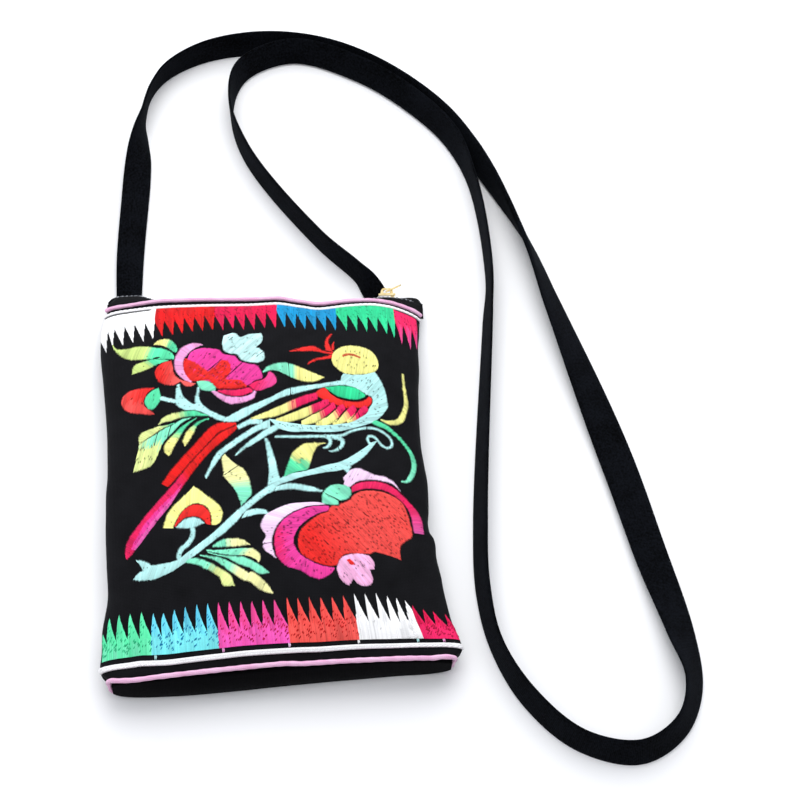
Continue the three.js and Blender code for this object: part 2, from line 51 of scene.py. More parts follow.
def placeCamera(view):
    e, h, r = (math.radians(view[k]) for k in ("elevation", "heading", "roll"))
    level = np.array((math.cos(h), -math.sin(h), 0))
    ahead = np.array((math.sin(h), math.cos(h), 0))
    zUp = np.array((0, 0, 1))
    forward = ahead * math.cos(e) - zUp * math.sin(e)
    upright = ahead * math.sin(e) + zUp * math.cos(e)
    right = level * math.cos(r) + upright * math.sin(r)
    up = upright * math.cos(r) - level * math.sin(r)
    eye = (np.array(view["target"]) - forward * view["distance"]) * mm
    lens = bpy.data.cameras.new("camera")
    lens.sensor_width = view["sensor"]
    lens.lens = view["sensor"] * view["focal"] / view["frame"]
    lens.clip_start = view["nearest"] * mm
    camera = bpy.data.objects.new("camera", lens)
    camera.matrix_world = standing((right, up, -forward), eye)
    scene.collection.objects.link(camera)
    scene.camera = camera


placeCamera(cameraView)
print("camera set")


# Colours and nodes
def linear(hexColour):
    shares = [int(hexColour[i:i + 2], 16) / 255 for i in (1, 3, 5)]
    return tuple(s / 12.92 if s <= 0.04045 else ((s + 0.055) / 1.055) ** 2.4 for s in shares) + (1,)


def setInputs(node, values):
    for key, value in values.items():
        node.inputs[key].default_value = value


def addNode(tree, kind, settings=None, values=None, links=None):
    node = tree.nodes.new(kind)
    for key, value in (settings or {}).items():
        setattr(node, key, value)
    setInputs(node, values or {})
    for key, socket in (links or {}).items():
        tree.links.new(socket, node.inputs[key])
    return node


def startMaterial(name):
    material = bpy.data.materials.new(name)
    material.use_nodes = True
    tree = material.node_tree
    return material, tree, tree.nodes["Principled BSDF"]


# Cloth with a visible weave: two sets of threads cross, and the yarn's tone wanders a little; the colour is
# painted darker where the weave lies low, painted shade between the threads
waveTurn = math.pi / 10  # a wave node of this scale repeats once in a unit
weaving = {
    "distortion": 0.6, "threadDetail": 1, "toneDetail": 5, "toneRoughness": 0.6, "weaveShadeShare": 0.45,
    "grainDetail": 2, "grainGain": 1.6, "grainDrop": -0.8, "depth": 0.4, "index": 1.5, "sheenRoughness": 0.5,
    "stops": (0.3, 0.85),  # the dark tone up to the first, the light one from the second
}


def wovenMaterial(name, cloth):
    material, tree, shader = startMaterial(name)
    # the piece's own measures in millimetres, along and across
    lay = addNode(tree, "ShaderNodeAttribute", {"attribute_name": "lay"}).outputs["Vector"]
    threads = {"Scale": waveTurn / cloth["thread"], "Distortion": weaving["distortion"],
               "Detail": weaving["threadDetail"]}
    warp, weft = (addNode(tree, "ShaderNodeTexWave", {"bands_direction": way}, threads, {"Vector": lay})
                  for way in "XY")
    weave = addNode(tree, "ShaderNodeMath", {"operation": "MULTIPLY"}, None,
                    {0: warp.outputs["Fac"], 1: weft.outputs["Fac"]})
    mottle = {"Scale": 1 / cloth["mottle"], "Detail": weaving["toneDetail"],
              "Roughness": weaving["toneRoughness"]}
    tone = addNode(tree, "ShaderNodeTexNoise", None, mottle, {"Vector": lay})
    # colour tone: painted shade from the weave's low places, plus the yarn's random tone
    shade = addNode(tree, "ShaderNodeMath", {"operation": "MULTIPLY_ADD"}, {1: weaving["weaveShadeShare"]},
                    {0: weave.outputs[0], 2: tone.outputs["Fac"]})
    if cloth.get("grain"):  # loose fibre ends, lighter and darker specks of about a millimetre
        specks = {"Scale": 1 / cloth["grain"], "Detail": weaving["grainDetail"]}
        fibre = addNode(tree, "ShaderNodeTexNoise", None, specks, {"Vector": lay})
        lifted = addNode(tree, "ShaderNodeMath", {"operation": "MULTIPLY_ADD"},
                         {1: weaving["grainGain"], 2: weaving["grainDrop"]}, {0: fibre.outputs["Fac"]})
        shade = addNode(tree, "ShaderNodeMath", {"operation": "ADD"}, None,
                        {0: shade.outputs[0], 1: lifted.outputs[0]})
    ramp = addNode(tree, "ShaderNodeValToRGB", None, None, {"Fac": shade.outputs[0]})
    tones = cloth["dark"], cloth["light"]
    for stop, position, colour in zip(ramp.color_ramp.elements, weaving["stops"], tones):
        stop.position, stop.color = position, linear(colour)
    raised = {"Strength": cloth["relief"], "Distance": cloth["thread"] * weaving["depth"] * mm}
    bump = addNode(tree, "ShaderNodeBump", None, raised, {"Height": weave.outputs[0]})
    tree.links.new(ramp.outputs["Color"], shader.inputs["Base Color"])
    tree.links.new(bump.outputs["Normal"], shader.inputs["Normal"])
    setInputs(shader, {
        "Roughness": cloth["roughness"], "IOR": weaving["index"], "Specular IOR Level": cloth["gloss"],
        "Sheen Weight": cloth["sheen"], "Sheen Roughness": weaving["sheenRoughness"],
        "Sheen Tint": linear(cloth["bloom"])})
    return material


# Cotton broadcloth, plain weave: matt near-black, faint grain; 0.35 mm threads drawn at 0.7 so they show
cottonCloth = wovenMaterial("black cotton broadcloth", {
    "thread": 0.7, "mottle": 14, "dark": "#0A0A0C", "light": "#161619", "relief": 0.4, "roughness": 0.92,
    "gloss": 0.1, "sheen": 0.02, "bloom": "#C8CCD8"})
# The same cotton under the bag, its colours darker as painted shade for the shadowed underside, and a little
# less glossy
shadedUnderCloth = wovenMaterial("black cotton broadcloth underside", {
    "thread": 0.7, "mottle": 14, "dark": "#040405", "light": "#0A090B", "relief": 0.4, "roughness": 0.95,
    "gloss": 0.05, "sheen": 0.01, "bloom": "#C8CCD8"})
# Brushed cotton strap, a turned tube pressed flat: soft nap that greys where light rakes it
strapCloth = wovenMaterial("black brushed cotton tube", {
    "thread": 0.8, "mottle": 18, "grain": 1.1, "dark": "#010101", "light": "#101217", "relief": 0.6,
    "roughness": 0.95, "gloss": 0.03, "sheen": 0.03, "bloom": "#AEB9CC"})
# Polyester zip tape, herringbone woven: tight, black, faintly shiny
tapeCloth = wovenMaterial("black polyester zip tape", {
    "thread": 0.6, "mottle": 8, "dark": "#070708", "light": "#121215", "relief": 0.6, "roughness": 0.7,
    "gloss": 0.12, "sheen": 0.02, "bloom": "#B8BCC8"})
# Cotton braid, plaited flat: soft white, darkened between its yarns by painted shade; 0.5 mm yarn drawn at
# 1.1
braidYarn = wovenMaterial("white cotton braid", {
    "thread": 1.1, "mottle": 6, "dark": "#EAE7E8", "light": "#FFFFFF", "relief": 0.4, "roughness": 0.8,
    "gloss": 0.3, "sheen": 0.1, "bloom": "#FFFFFF"})
# Satin bias piping: pink weave over a cord, with painted highlight on its raised threads and painted shade
# between them
pipingSatin = wovenMaterial("pink satin bias piping", {
    "thread": 0.9, "mottle": 7, "dark": "#EA9CCB", "light": "#FBD2EC", "relief": 0.6, "roughness": 0.5,
    "gloss": 0.5, "sheen": 0.15, "bloom": "#FFE4F4"})


# Rayon embroidery thread: glossy filament, each stitch a touch lighter or darker than the next
def threadMaterial(name, yarn):
    material, tree, shader = startMaterial(name)
    dye, lay = (addNode(tree, "ShaderNodeAttribute", {"attribute_name": key}) for key in ("dye", "lay"))
    turns = {"Scale": waveTurn / yarn["twist"], "Distortion": yarn["distortion"]}
    twist = addNode(tree, "ShaderNodeTexWave", {"bands_direction": "DIAGONAL"}, turns,
                    {"Vector": lay.outputs["Vector"]})
    raised = {"Strength": yarn["relief"], "Distance": yarn["depth"] * mm}
    bump = addNode(tree, "ShaderNodeBump", None, raised, {"Height": twist.outputs["Fac"]})
    tree.links.new(dye.outputs["Color"], shader.inputs["Base Color"])
    tree.links.new(bump.outputs["Normal"], shader.inputs["Normal"])
    setInputs(shader, {"Roughness": yarn["roughness"], "IOR": yarn["index"],
                       "Specular IOR Level": yarn["gloss"], "Sheen Weight": yarn["sheen"]})
    return material


rayonThread = threadMaterial("rayon embroidery thread", {
    "twist": 0.5, "distortion": 1, "relief": 0.25, "depth": 0.1, "roughness": 0.5, "index": 1.52,
    "gloss": 0.14,
    "sheen": 0.02})

# Plated metal: fine tumbling marks break the gloss, and the plating dulls in patches
plating = {
    "patch": 2.5, "patchDetail": 4, "mark": 0.25, "markDetail": 2, "smoother": 0.08, "rougher": 0.12,
    "relief": 0.12, "depth": 0.05,
    "stops": (0.35, 0.65),  # dull up to the first, bright from the second
}


def platedMaterial(name, bright, dull, roughness):
    material, tree, shader = startMaterial(name)
    place = addNode(tree, "ShaderNodeTexCoord").outputs["Object"]
    patches, marks = (
        addNode(tree, "ShaderNodeTexNoise", None,
                {"Scale": 1 / (plating[kind] * mm), "Detail": plating[kind + "Detail"]}, {"Vector": place})
        for kind in ("patch", "mark"))
    ramp = addNode(tree, "ShaderNodeValToRGB", None, None, {"Fac": patches.outputs["Fac"]})
    for stop, position, colour in zip(ramp.color_ramp.elements, plating["stops"], (dull, bright)):
        stop.position, stop.color = position, linear(colour)
    wear = {"To Min": roughness - plating["smoother"], "To Max": roughness + plating["rougher"]}
    rough = addNode(tree, "ShaderNodeMapRange", None, wear, {"Value": patches.outputs["Fac"]})
    raised = {"Strength": plating["relief"], "Distance": plating["depth"] * mm}
    bump = addNode(tree, "ShaderNodeBump", None, raised, {"Height": marks.outputs["Fac"]})
    tree.links.new(ramp.outputs["Color"], shader.inputs["Base Color"])
    tree.links.new(rough.outputs["Result"], shader.inputs["Roughness"])
    tree.links.new(bump.outputs["Normal"], shader.inputs["Normal"])
    setInputs(shader, {"Metallic": 1})
    return material


giltMetal = platedMaterial("gilt zinc casting", "#FBEBB8", "#DDBE78", 0.28)  # slider and pull, pale warm gold
nickelMetal = platedMaterial("nickel plated zip teeth", "#9FA1A6", "#6C6E74", 0.34)  # cool grey glints
print("materials made")


# Meshes from grids of points
def addPiece(name, points, faces, material, lay=None, rounded=True):
    mesh = bpy.data.meshes.new(name)
    mesh.from_pydata((points * mm).tolist(), [], faces)
    mesh.polygons.foreach_set("use_smooth", [rounded] * len(mesh.polygons))
    if lay is not None:
        layer = mesh.attributes.new("lay", "FLOAT_VECTOR", "POINT")
        layer.data.foreach_set("vector", lay.ravel())
    mesh.materials.append(material)
    piece = bpy.data.objects.new(name, mesh)
    scene.collection.objects.link(piece)
    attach(piece, "bag")
    return piece


def gridQuads(rows, columns, first=0):
    a = first + (np.arange(rows - 1)[:, None] * columns + np.arange(columns - 1)[None, :]).ravel()
    return np.stack((a, a + 1, a + 1 + columns, a + columns), 1)


# Closed sheet between two grids of points of the same size
def addSheet(name, outer, inner, lay, material):
    rows, columns = outer.shape[:2]
    layer = rows * columns
    index = np.arange(layer).reshape(rows, columns)
    rim = np.concatenate((index[0], index[1:, -1], index[-1, -2::-1], index[-2:0:-1, 0]))
    after = np.roll(rim, -1)
    quads = np.concatenate((gridQuads(rows, columns), gridQuads(rows, columns, layer)[:, ::-1],
                            np.stack((after, rim, rim + layer, after + layer), 1)))
    points = np.concatenate((outer.reshape(-1, 3), inner.reshape(-1, 3)))
    return addPiece(name, points, quads.tolist(), material, np.concatenate((lay.reshape(-1, 3),) * 2))


# Tube of given cross-sections: rings is (steps, sides, 3)
def addTube(name, rings, lay, material):
    steps, sides = rings.shape[:2]
    points = np.concatenate((rings.reshape(-1, 3), rings[[0, -1]].mean(1)))
    a = (np.arange(steps - 1)[:, None] * sides + np.arange(sides)[None, :]).ravel()
    b = (np.arange(steps - 1)[:, None] * sides + (np.arange(sides)[None, :] + 1) % sides).ravel()
    quads = np.stack((a, b, b + sides, a + sides), 1).tolist()
    last = (steps - 1) * sides
    ends = steps * sides
    for k in range(sides):
        quads.append([(k + 1) % sides, k, ends])
        quads.append([last + k, last + (k + 1) % sides, ends + 1])
    return addPiece(name, points, quads, material, np.concatenate((lay.reshape(-1, 3), lay[[0, -1], 0])))


def smooth(low, high, value):
    f = np.clip((value - low) / (high - low), 0, 1)
    return f * f * (3 - 2 * f)


def mix(a, b, share):
    return a + (b - a) * share


# Smooth reading of a table's column by its first column, flat at a high or low point
def readColumn(rows, column, at):
    key = np.array([row[0] for row in rows], float)
    value = np.array([row[column] for row in rows], float)
    step = np.diff(key)
    slope = np.diff(value) / step
    both = slope[:-1] * slope[1:]
    inner = np.where(both > 0, 2 * both / np.where(both > 0, slope[:-1] + slope[1:], 1), 0)
    slopes = np.concatenate((slope[:1], inner, slope[-1:]))
    i = np.clip(np.searchsorted(key, at), 1, len(key) - 1)
    f = np.clip((at - key[i - 1]) / step[i - 1], 0, 1)
    rise = f * f * (3 - 2 * f)
    bend = slopes[i - 1] * f * (1 - f) ** 2 - slopes[i] * f * f * (1 - f)
    return value[i - 1] + (value[i] - value[i - 1]) * rise + step[i - 1] * bend


# Strap, laid on the floor in one loose loop
# Its route is x, y, lean of its upper edge to the left of travel, width
strap = {
    "thick": 1.8, "held": 2.2, "end": 0.016, "over": 0.1, "steps": 460, "sides": 20, "probe": 0.0004,
    "edgePower": 0.45, "facePower": 0.7, "pressed": 0.86,
    "route": [
        (-70, 103.2, 6, 12.5), (-69.6, 131, 15, 14), (-67.7, 165, 15, 14.5), (-66, 190, 33, 15),
        (-64.8, 206, 64, 15), (-63.2, 220, 91, 15), (-59.6, 235.3, 96, 15), (-50.5, 249.5, 90, 15),
        (-29, 262.4, 79, 15), (3, 267.5, 68, 15), (35, 262, 62, 15), (64.5, 246.3, 62, 15),
        (94.6, 217.9, 63, 15), (111.6, 189.8, 68, 15), (135.3, 131, 112, 15), (144.8, 94, 138, 15.5),
        (167.2, 4.5, 172, 18), (176.9, -45, 170, 17.5), (185, -86, 152, 17), (187.3, -112, 128, 16),
        (179.2, -131, 121, 15), (159.6, -142.4, 120, 15), (133.3, -136.2, 112, 15), (112.3, -115.8, 110, 15),
        (99.5, -90, 104, 15), (95.6, -62, 110, 14.5), (97.6, -25, 112, 14.5), (110.8, 84, 104, 14.5),
        (114, 112, 97, 15), (110.6, 168, 97, 15), (101, 200, 112, 15), (81, 226, 118, 15),
        (53, 248.5, 119, 15), (18, 261.6, 116, 15), (-9.4, 249.3, 110, 15), (-16.6, 225.8, 95, 15),
        (-8.6, 191.6, 82, 15), (27.4, 135.6, 82, 15), (46, 115.2, 77, 14.5), (56, 102.4, 17, 11.5)],
    "bunch": [(0, 1), (12, 1), (13.6, 2.1), (15, 1), (39, 1)],  # thicker where it folds, by the route's row
}


# Point of a smooth line through the route's points, each stretch with the same share
def routeAt(points, share):
    spot = min(max(share, 0), 1) * (len(points) - 1)
    i = min(int(spot), len(points) - 2)
    f = spot - i
    b, c = points[i], points[i + 1]
    a = points[i - 1] if i > 0 else 2 * b - c
    d = points[i + 2] if i + 2 < len(points) else 2 * c - b
    ab, bc, cd = (np.linalg.norm(q - p) ** 0.5 for p, q in ((a, b), (b, c), (c, d)))
    leave = ((b - a) / ab - (c - a) / (ab + bc) + (c - b) / bc) * bc
    reach = ((c - b) / bc - (d - b) / (bc + cd) + (d - c) / cd) * bc
    return b + leave * f + (3 * (c - b) - 2 * leave - reach) * f ** 2 + (2 * (b - c) + leave + reach) * f ** 3


def makeStrap(band):
    route = [np.array(row[:2], float) for row in band["route"]]
    table = [(i, row[2], row[3]) for i, row in enumerate(band["route"])]
    turns = 2 * np.pi * np.arange(band["sides"]) / band["sides"]
    across = np.sign(np.cos(turns)) * np.abs(np.cos(turns)) ** band["edgePower"]
    out = np.sign(np.sin(turns)) * np.abs(np.sin(turns)) ** band["facePower"]
    rings, lays, path = [], [], []
    gone = 0
    for share in np.linspace(0, 1, band["steps"] + 1):
        at = routeAt(route, share)
        run = routeAt(route, share + band["probe"]) - routeAt(route, share - band["probe"])
        run = run / np.linalg.norm(run)
        spot = share * (len(route) - 1)
        lean = math.radians(float(readColumn(table, 1, spot)))
        half = float(readColumn(table, 2, spot)) / 2
        thick = band["thick"] / 2
        left = np.array((-run[1], run[0], 0))
        wide = left * math.cos(lean) + np.array((0, 0, math.sin(lean)))
        face = left * -math.sin(lean) + np.array((0, 0, math.cos(lean)))
        lying = half * abs(math.sin(lean)) + thick * abs(math.cos(lean)) + band["over"]
        endShare = min(share, 1 - share)
        lift = mix(max(band["held"], lying), lying, float(smooth(0, band["end"], endShare)))
        middle = np.array((*at, lift))
        if path:
            gone += np.linalg.norm(middle - path[-1])
        path.append(middle)
        crown = thick * float(readColumn(band["bunch"], 1, spot))
        crown = crown * mix(band["pressed"], 1, across ** 2)  # flat in the middle, fuller at its turned edges
        rings.append(middle + np.outer(across * half, wide) + np.outer(out * crown, face))
        lays.append(np.stack((np.full(len(turns), gone), across * half, out), 1))
    piece = addTube("strap_band", np.array(rings), np.array(lays), strapCloth)
    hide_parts("strap")
    path = np.array(path) * mm
    print("strap made, length in mm", round(gone))


makeStrap(strap)

# Pouch: sections from the bottom edge to the zip, then the rim and hem across the bag
pouch = {
    "wall": 2, "joinGap": 0.3, "nipPower": 14, "seamGap": 1.3, "bottomEdge": -100, "topEdge": 94.6,
    "rimReach": 0.14, "hemReach": 0.12, "backFlat": 0.74, "backRound": 2.2, "backLift": 0.8,
    "bottomEnd": 0.995, "bulgeFade": 4, "puckerRise": 8, "puckerFade": 6,
    # y, left, right, crown, seam at the left, seam at the right, fullness
    "sections": [
        (-100, -73.6, 77, 17.6, 10.5, 10, 5), (-94, -78.8, 81.4, 20.4, 11, 10.5, 2.7),
        (-80, -78.6, 79.6, 24.2, 11, 10.5, 2.7), (-60, -75.8, 76.8, 27.2, 10.8, 10.4, 2.6),
        (-47, -76.6, 76.3, 28.6, 10.6, 10.3, 2.6), (-40, -77.2, 76.1, 29, 10.5, 10.2, 2.6),
        (-24, -77.8, 73.4, 29.9, 10.3, 10, 2.6), (15, -77.8, 73.4, 30.6, 10, 9.6, 2.6),
        (50, -79.4, 74.6, 29.4, 9.4, 8.8, 2.6), (70, -81.2, 75.6, 25.6, 8.8, 7.6, 2.6),
        (84, -81.4, 76.2, 19.2, 8, 6, 2.6), (94.6, -80.2, 76.6, 12.6, 7, 4.6, 2.7)],
    # the side seams alone, drawn in or let out: y, left, right
    "nips": [
        (-100, 0, 1.2), (-94, 0, 1.8), (-86, 0.6, 0.8), (-77, 0.3, -0.3), (-60, -0.2, -0.3),
        (-47, -0.2, -1.6), (-42, 0, -1.4), (-39, 0, -1.7), (-36, 0, -3.1), (-32, 0, -2.6), (-24, 0, -0.6),
        (-10, -0.2, 0), (0, 0.3, -0.9), (12, 0, -1.8), (40, -0.9, -1.7), (54, -1.3, -1), (66, -1.4, -1.3),
        (76, -1.4, -0.6), (86, -0.6, -0.4), (94.6, 0, 0)],
    # x, front, back, dip
    "rim": [
        (-82, -0.6, -0.6, 0), (-76, 0.4, 4.4, 0), (-68, 0.7, 6.4, 0), (-53, 1.3, 4.8, 0), (-33, 1, 4, 0),
        (-8, 0.4, 4.4, 0), (4, 0.7, 4.4, 0), (16, -1.1, 3, 0.6), (25, -1.8, 1.8, 1.6), (32, -1.5, 1.8, 1.4),
        (42, -1, 2.6, 0.5), (52, -0.7, 3.4, 0), (61, -1.8, 2.8, 0), (66, -3.3, 1.8, 0), (72, -5.5, -1.6, 0),
        (78, -8.2, -8.4, 0)],
    # x, front, back, bulge
    "hem": [
        (-80, -1.2, -1.6, 1.2), (-70, -1, -2.2, 1.6), (-46, -0.3, -2.2, 2), (-20, 0.8, -1.2, 2),
        (5, 1.8, 0.3, 1.8), (38, 3, 1.8, 1.6), (58, 2.8, 2.5, 1), (82, 2, 2, 0.6)],
    # grooves: x, y, angle, half length, half width, depth
    "folds": [(70, -27, 155, 14, 3.2, 1.3), (72, -43, 160, 11, 3, 1.5), (58, 4, 150, 16, 5, 1.1),
              (-72, -57, 20, 12, 4, 1), (26, 86, 80, 12, 7, 0.9)],
    # fine puckers that the stitching draws into the cloth: waves to the metre in x and y, turn, depth
    "puckers": [(31, 47, 0.4, 0.1), (-43, 71, 1.9, 0.08), (83, -29, 3.1, 0.07), (97, 113, 5.2, 0.05)],
}


def crossSection(level, place):
    side = (1 + place) / 2
    read = lambda column: readColumn(pouch["sections"], column, level)
    fullness = read(6)
    swell = np.maximum(1 - np.abs(place) ** fullness, 0) ** (1 / fullness)
    nip = sum(readColumn(pouch["nips"], column, level) * np.maximum(way * place, 0) ** pouch["nipPower"]
              for column, way in ((1, -1), (2, 1)))
    return mix(read(1), read(2), side) + nip, mix(read(4), read(5), side), read(3), swell


def edgeShares(along):
    return smooth(1 - pouch["rimReach"], 1, along), 1 - smooth(0, pouch["hemReach"], along)


def frontAt(place, along):
    place, along = np.broadcast_arrays(np.asarray(place, float), np.asarray(along, float))
    level = mix(pouch["bottomEdge"], pouch["topEdge"], along)
    x, seam, crown, swell = crossSection(level, place)
    top, bottom = edgeShares(along)
    y = level + top * readColumn(pouch["rim"], 1, x) + bottom * readColumn(pouch["hem"], 1, x)
    dip = top * readColumn(pouch["rim"], 3, x)
    for foldX, foldY, angle, length, width, depth in pouch["folds"]:
        c, s = math.cos(math.radians(angle)), math.sin(math.radians(angle))
        dx, dy = x - foldX, level - foldY
        dip = dip + depth * np.exp(-((dx * c + dy * s) / length) ** 2 - ((dy * c - dx * s) / width) ** 2)
    inside = np.clip(pouch["puckerRise"] * along * (1 - along), 0, 1) * (1 - place ** pouch["puckerFade"])
    for waveX, waveY, turn, depth in pouch["puckers"]:
        dip = dip + inside * depth * np.sin(2 * np.pi * (waveX * x + waveY * level) * mm + turn)
    return np.stack((x, y, mix(seam, crown - dip, swell)), -1)


def backAt(place, along):
    place, along = np.broadcast_arrays(np.asarray(place, float), np.asarray(along, float))
    level = mix(pouch["bottomEdge"], pouch["topEdge"], along)
    x, seam = crossSection(level, place)[:2]
    top, bottom = edgeShares(along)
    y = level + top * readColumn(pouch["rim"], 2, x) + bottom * readColumn(pouch["hem"], 2, x)
    bend = np.maximum((np.abs(place) - pouch["backFlat"]) / (1 - pouch["backFlat"]), 0)
    turned = 1 - np.maximum(1 - bend ** pouch["backRound"], 0) ** (1 / pouch["backRound"])
    z = (seam - pouch["seamGap"]) * turned + pouch["backLift"] * top ** 2 * (1 - turned)
    return np.stack((x, y, z), -1)


def placeAt(share):
    return np.sin(np.pi / 2 * (2 * share - 1))


def normalsOf(grid):
    normal = np.cross(np.gradient(grid, axis=1), np.gradient(grid, axis=0))
    return normal / np.maximum(np.linalg.norm(normal, axis=-1, keepdims=True), 1e-9)


def layOf(grid):
    return np.stack((grid[..., 0], grid[..., 1], grid[..., 2] * 0), -1)


# Panels: finer sheets of nearly the solids' shape, by their columns and rows
panelGrid = {"front": (170, 190), "back": (90, 100), "bottom": (120, 14)}


def gridOf(name):
    columns, rows = panelGrid[name]
    return np.linspace(0, 1, columns + 1)[None, :], np.linspace(0, 1, rows + 1)[:, None]


def addPanel(name, outer):
    return addSheet(name, outer, outer - normalsOf(outer) * pouch["wall"], layOf(outer), cottonCloth)


def makePanels():
    u, v = gridOf("front")
    front = addPanel("front_cloth", frontAt(placeAt(u), v))
    u, v = gridOf("back")
    back = addPanel("back_cloth", backAt(placeAt(1 - u), v))
    u, v = gridOf("bottom")
    place = pouch["bottomEnd"] * placeAt(u)
    flat = mix(backAt(place, 0), frontAt(place, 0), v[..., None])
    bulge = readColumn(pouch["hem"], 3, flat[..., 0]) * np.sin(np.pi * v) * (1 - place ** pouch["bulgeFade"])
    shift = lambda depth: flat - np.stack((bulge * 0, bulge + pouch["joinGap"] + depth, bulge * 0), -1)
    lay = np.stack((flat[..., 0], flat[..., 2], flat[..., 2] * 0), -1)
    # the bottom panel takes the cotton whose darker colours are painted shade
    bottom = addSheet("bottom_cloth", shift(pouch["wall"]), shift(0), lay, shadedUnderCloth)
    for piece, node in ((front, "front_panel"), (back, "back_panel"), (bottom, "bottom_panel")):
        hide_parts(node)
    print("panels made")
    return front, back, bottom


frontCloth, backCloth, bottomCloth = makePanels()

# Chart of the flat front in mm: x from -chartHalf at the left seam, y from the bottom edge to the zip
chartHalf, chartTall = 80, pouch["topEdge"] - pouch["bottomEdge"]
chartColumns, chartRows = 320, 390

# Trim along the edges of the front
trims = {
    "topPinkRadius": 1, "topWhite": (0.9778, 0.9868, 0.55), "bottomWhite": (0.0215, 0.0335, 0.6),
    "bottomPinkRadius": 1.1, "bottomPinkTurn": 0.03, "bottomPinkLead": 1.2, "braidInset": 0.02,
    "pipingInset": 0.03, "steps": 320, "plait": 2.4, "braidRows": 8, "braidUnder": 0.05, "braidEdge": 0.55,
    "braidRound": 0.5, "plaitHeight": 0.13, "plaitSlant": 1.4, "pipingSides": 14, "topPinkSink": 0.1,
    "topPinkRows": (0.97, 0.985, 1), "bottomPinkFrom": -0.985, "bottomPinkProbe": 0.02, "bottomPinkOut": 0.75,
    "bottomPinkIn": -0.6, "bottomPinkBend": 0.88,
    "pipingWaves": [(0.05, 1.1), (0.03, 0.37)],  # unevenness: share of the radius, radians to the millimetre
    # the lower braid and the threads above it wander a little: chart x, rise
    "sway": [(-80, -0.2), (-73, 0), (-67, 0), (-62, 0.2), (-57, -0.1), (-50, -0.4), (-40, -0.1), (-28, 0.2),
             (-14, 0.6), (8, 0.3), (19, -0.2), (46, -0.2), (66, 0.3), (73, 0.8), (80, 1.2)],
    # rise of the pipings over their seams: x, at the top, at the bottom
    "pinkRise": [
        (-82, 0.2, 0.8), (-74, 0.1, 0.7), (-69, 0.2, -0.1), (-63, 0.5, -0.5), (-52, 0.9, 0), (-36, 0.9, 0.5),
        (2, 0.6, 1.1), (12, 0.5, 0.3), (40, 0.2, -0.2), (57, -0.2, 0), (68, 0, 0.1), (74, 0.1, 1),
        (82, 0.3, 1.4)],
}


def goneAlong(points):
    return np.cumsum(np.linalg.norm(np.diff(points, axis=0, prepend=points[:1]), axis=1))


def makeBraid(name, node, band, sway):
    low, high, thick = band
    u = mix(trims["braidInset"], 1 - trims["braidInset"], np.linspace(0, 1, trims["steps"] + 1))[None, :]
    v = np.linspace(0, 1, trims["braidRows"] + 1)[:, None]
    rise = readColumn(sway, 1, placeAt(u) * chartHalf) / chartTall
    grid = frontAt(placeAt(u), mix(low, high, v) + rise)
    normal = normalsOf(grid)
    run = goneAlong(grid[trims["braidRows"] // 2])[None, :] + v * 0
    # rounded edges, and the plait's slanting yarns on top
    swell = mix(trims["braidEdge"], 1, np.maximum(np.sin(np.pi * v), 0) ** trims["braidRound"])
    turn = run / trims["plait"] + np.abs(v - 0.5) * trims["plaitSlant"]
    plait = trims["plaitHeight"] * np.sin(2 * np.pi * turn)
    top = grid + normal * (pouch["joinGap"] + thick * swell + plait)[..., None]
    lay = np.stack((run, v * (high - low) * chartTall + run * 0, run * 0), -1)
    piece = addSheet(name, top, grid + normal * trims["braidUnder"], lay, braidYarn)
    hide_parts(node)


def makePiping(name, node, points, radius):
    run = np.gradient(points, axis=0)
    run /= np.linalg.norm(run, axis=1, keepdims=True)
    side = np.cross(run, (0, 0, 1.0))
    side /= np.linalg.norm(side, axis=1, keepdims=True)
    up = np.cross(side, run)
    gone = goneAlong(points)
    turns = 2 * np.pi * np.arange(trims["pipingSides"]) / trims["pipingSides"]
    wave = 1 + sum(size * np.sin(gone * rate) for size, rate in trims["pipingWaves"])
    swell = radius * wave[:, None, None]
    turned = np.cos(turns)[None, :, None] * side[:, None] + np.sin(turns)[None, :, None] * up[:, None]
    rings = points[:, None] + swell * turned
    lay = np.stack(np.broadcast_arrays(gone[:, None] + turns[None] * radius, turns[None] * radius, 0.0), -1)
    piece = addTube(name, rings, lay, pipingSatin)
    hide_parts(node)


def bottomOutline(k):
    whole = k * (1 + trims["bottomPinkTurn"])
    front = frontAt(placeAt((1 + np.clip(whole, -1, 1)) / 2), 0)
    back = backAt(np.sign(whole) * (2 - np.abs(whole)), 0)
    return np.where((np.abs(whole) <= 1)[:, None], front, back)


def makeTrims():
    makeBraid("top_braid", "braid_top_white", trims["topWhite"], [(-chartHalf, 0), (chartHalf, 0)])
    makeBraid("bottom_braid", "braid_bottom_white", trims["bottomWhite"], trims["sway"])
    u = mix(trims["pipingInset"], 1 - trims["pipingInset"], np.linspace(0, 1, trims["steps"] + 1))[None, :]
    edge = frontAt(placeAt(u), np.array(trims["topPinkRows"])[:, None])
    lift = lambda x, column: np.stack((x * 0, readColumn(trims["pinkRise"], column, x), x * 0), -1)
    rim = edge[-1]
    line = rim + normalsOf(edge)[-1] * (trims["topPinkRadius"] - trims["topPinkSink"]) + lift(rim[:, 0], 1)
    makePiping("top_piping", "piping_top_pink", line, trims["topPinkRadius"])
    k = np.linspace(trims["bottomPinkFrom"], 1, trims["steps"] + 1)
    probe = trims["bottomPinkProbe"]
    run = bottomOutline(np.minimum(k + probe, 1)) - bottomOutline(np.maximum(k - probe, -1))
    away = np.stack((-run[:, 2], run[:, 0] * 0, run[:, 0]), -1)
    away /= np.linalg.norm(away, axis=1, keepdims=True)
    reach = mix(trims["bottomPinkOut"], trims["bottomPinkIn"], smooth(trims["bottomPinkBend"], 1, np.abs(k)))
    line = bottomOutline(k) + away * (trims["bottomPinkRadius"] + reach)[:, None]
    line = line - np.array((0, trims["bottomPinkLead"], 0))
    makePiping("bottom_piping", "piping_bottom_pink", line + lift(line[:, 0], 2), trims["bottomPinkRadius"])
    print("trims made")


makeTrims()

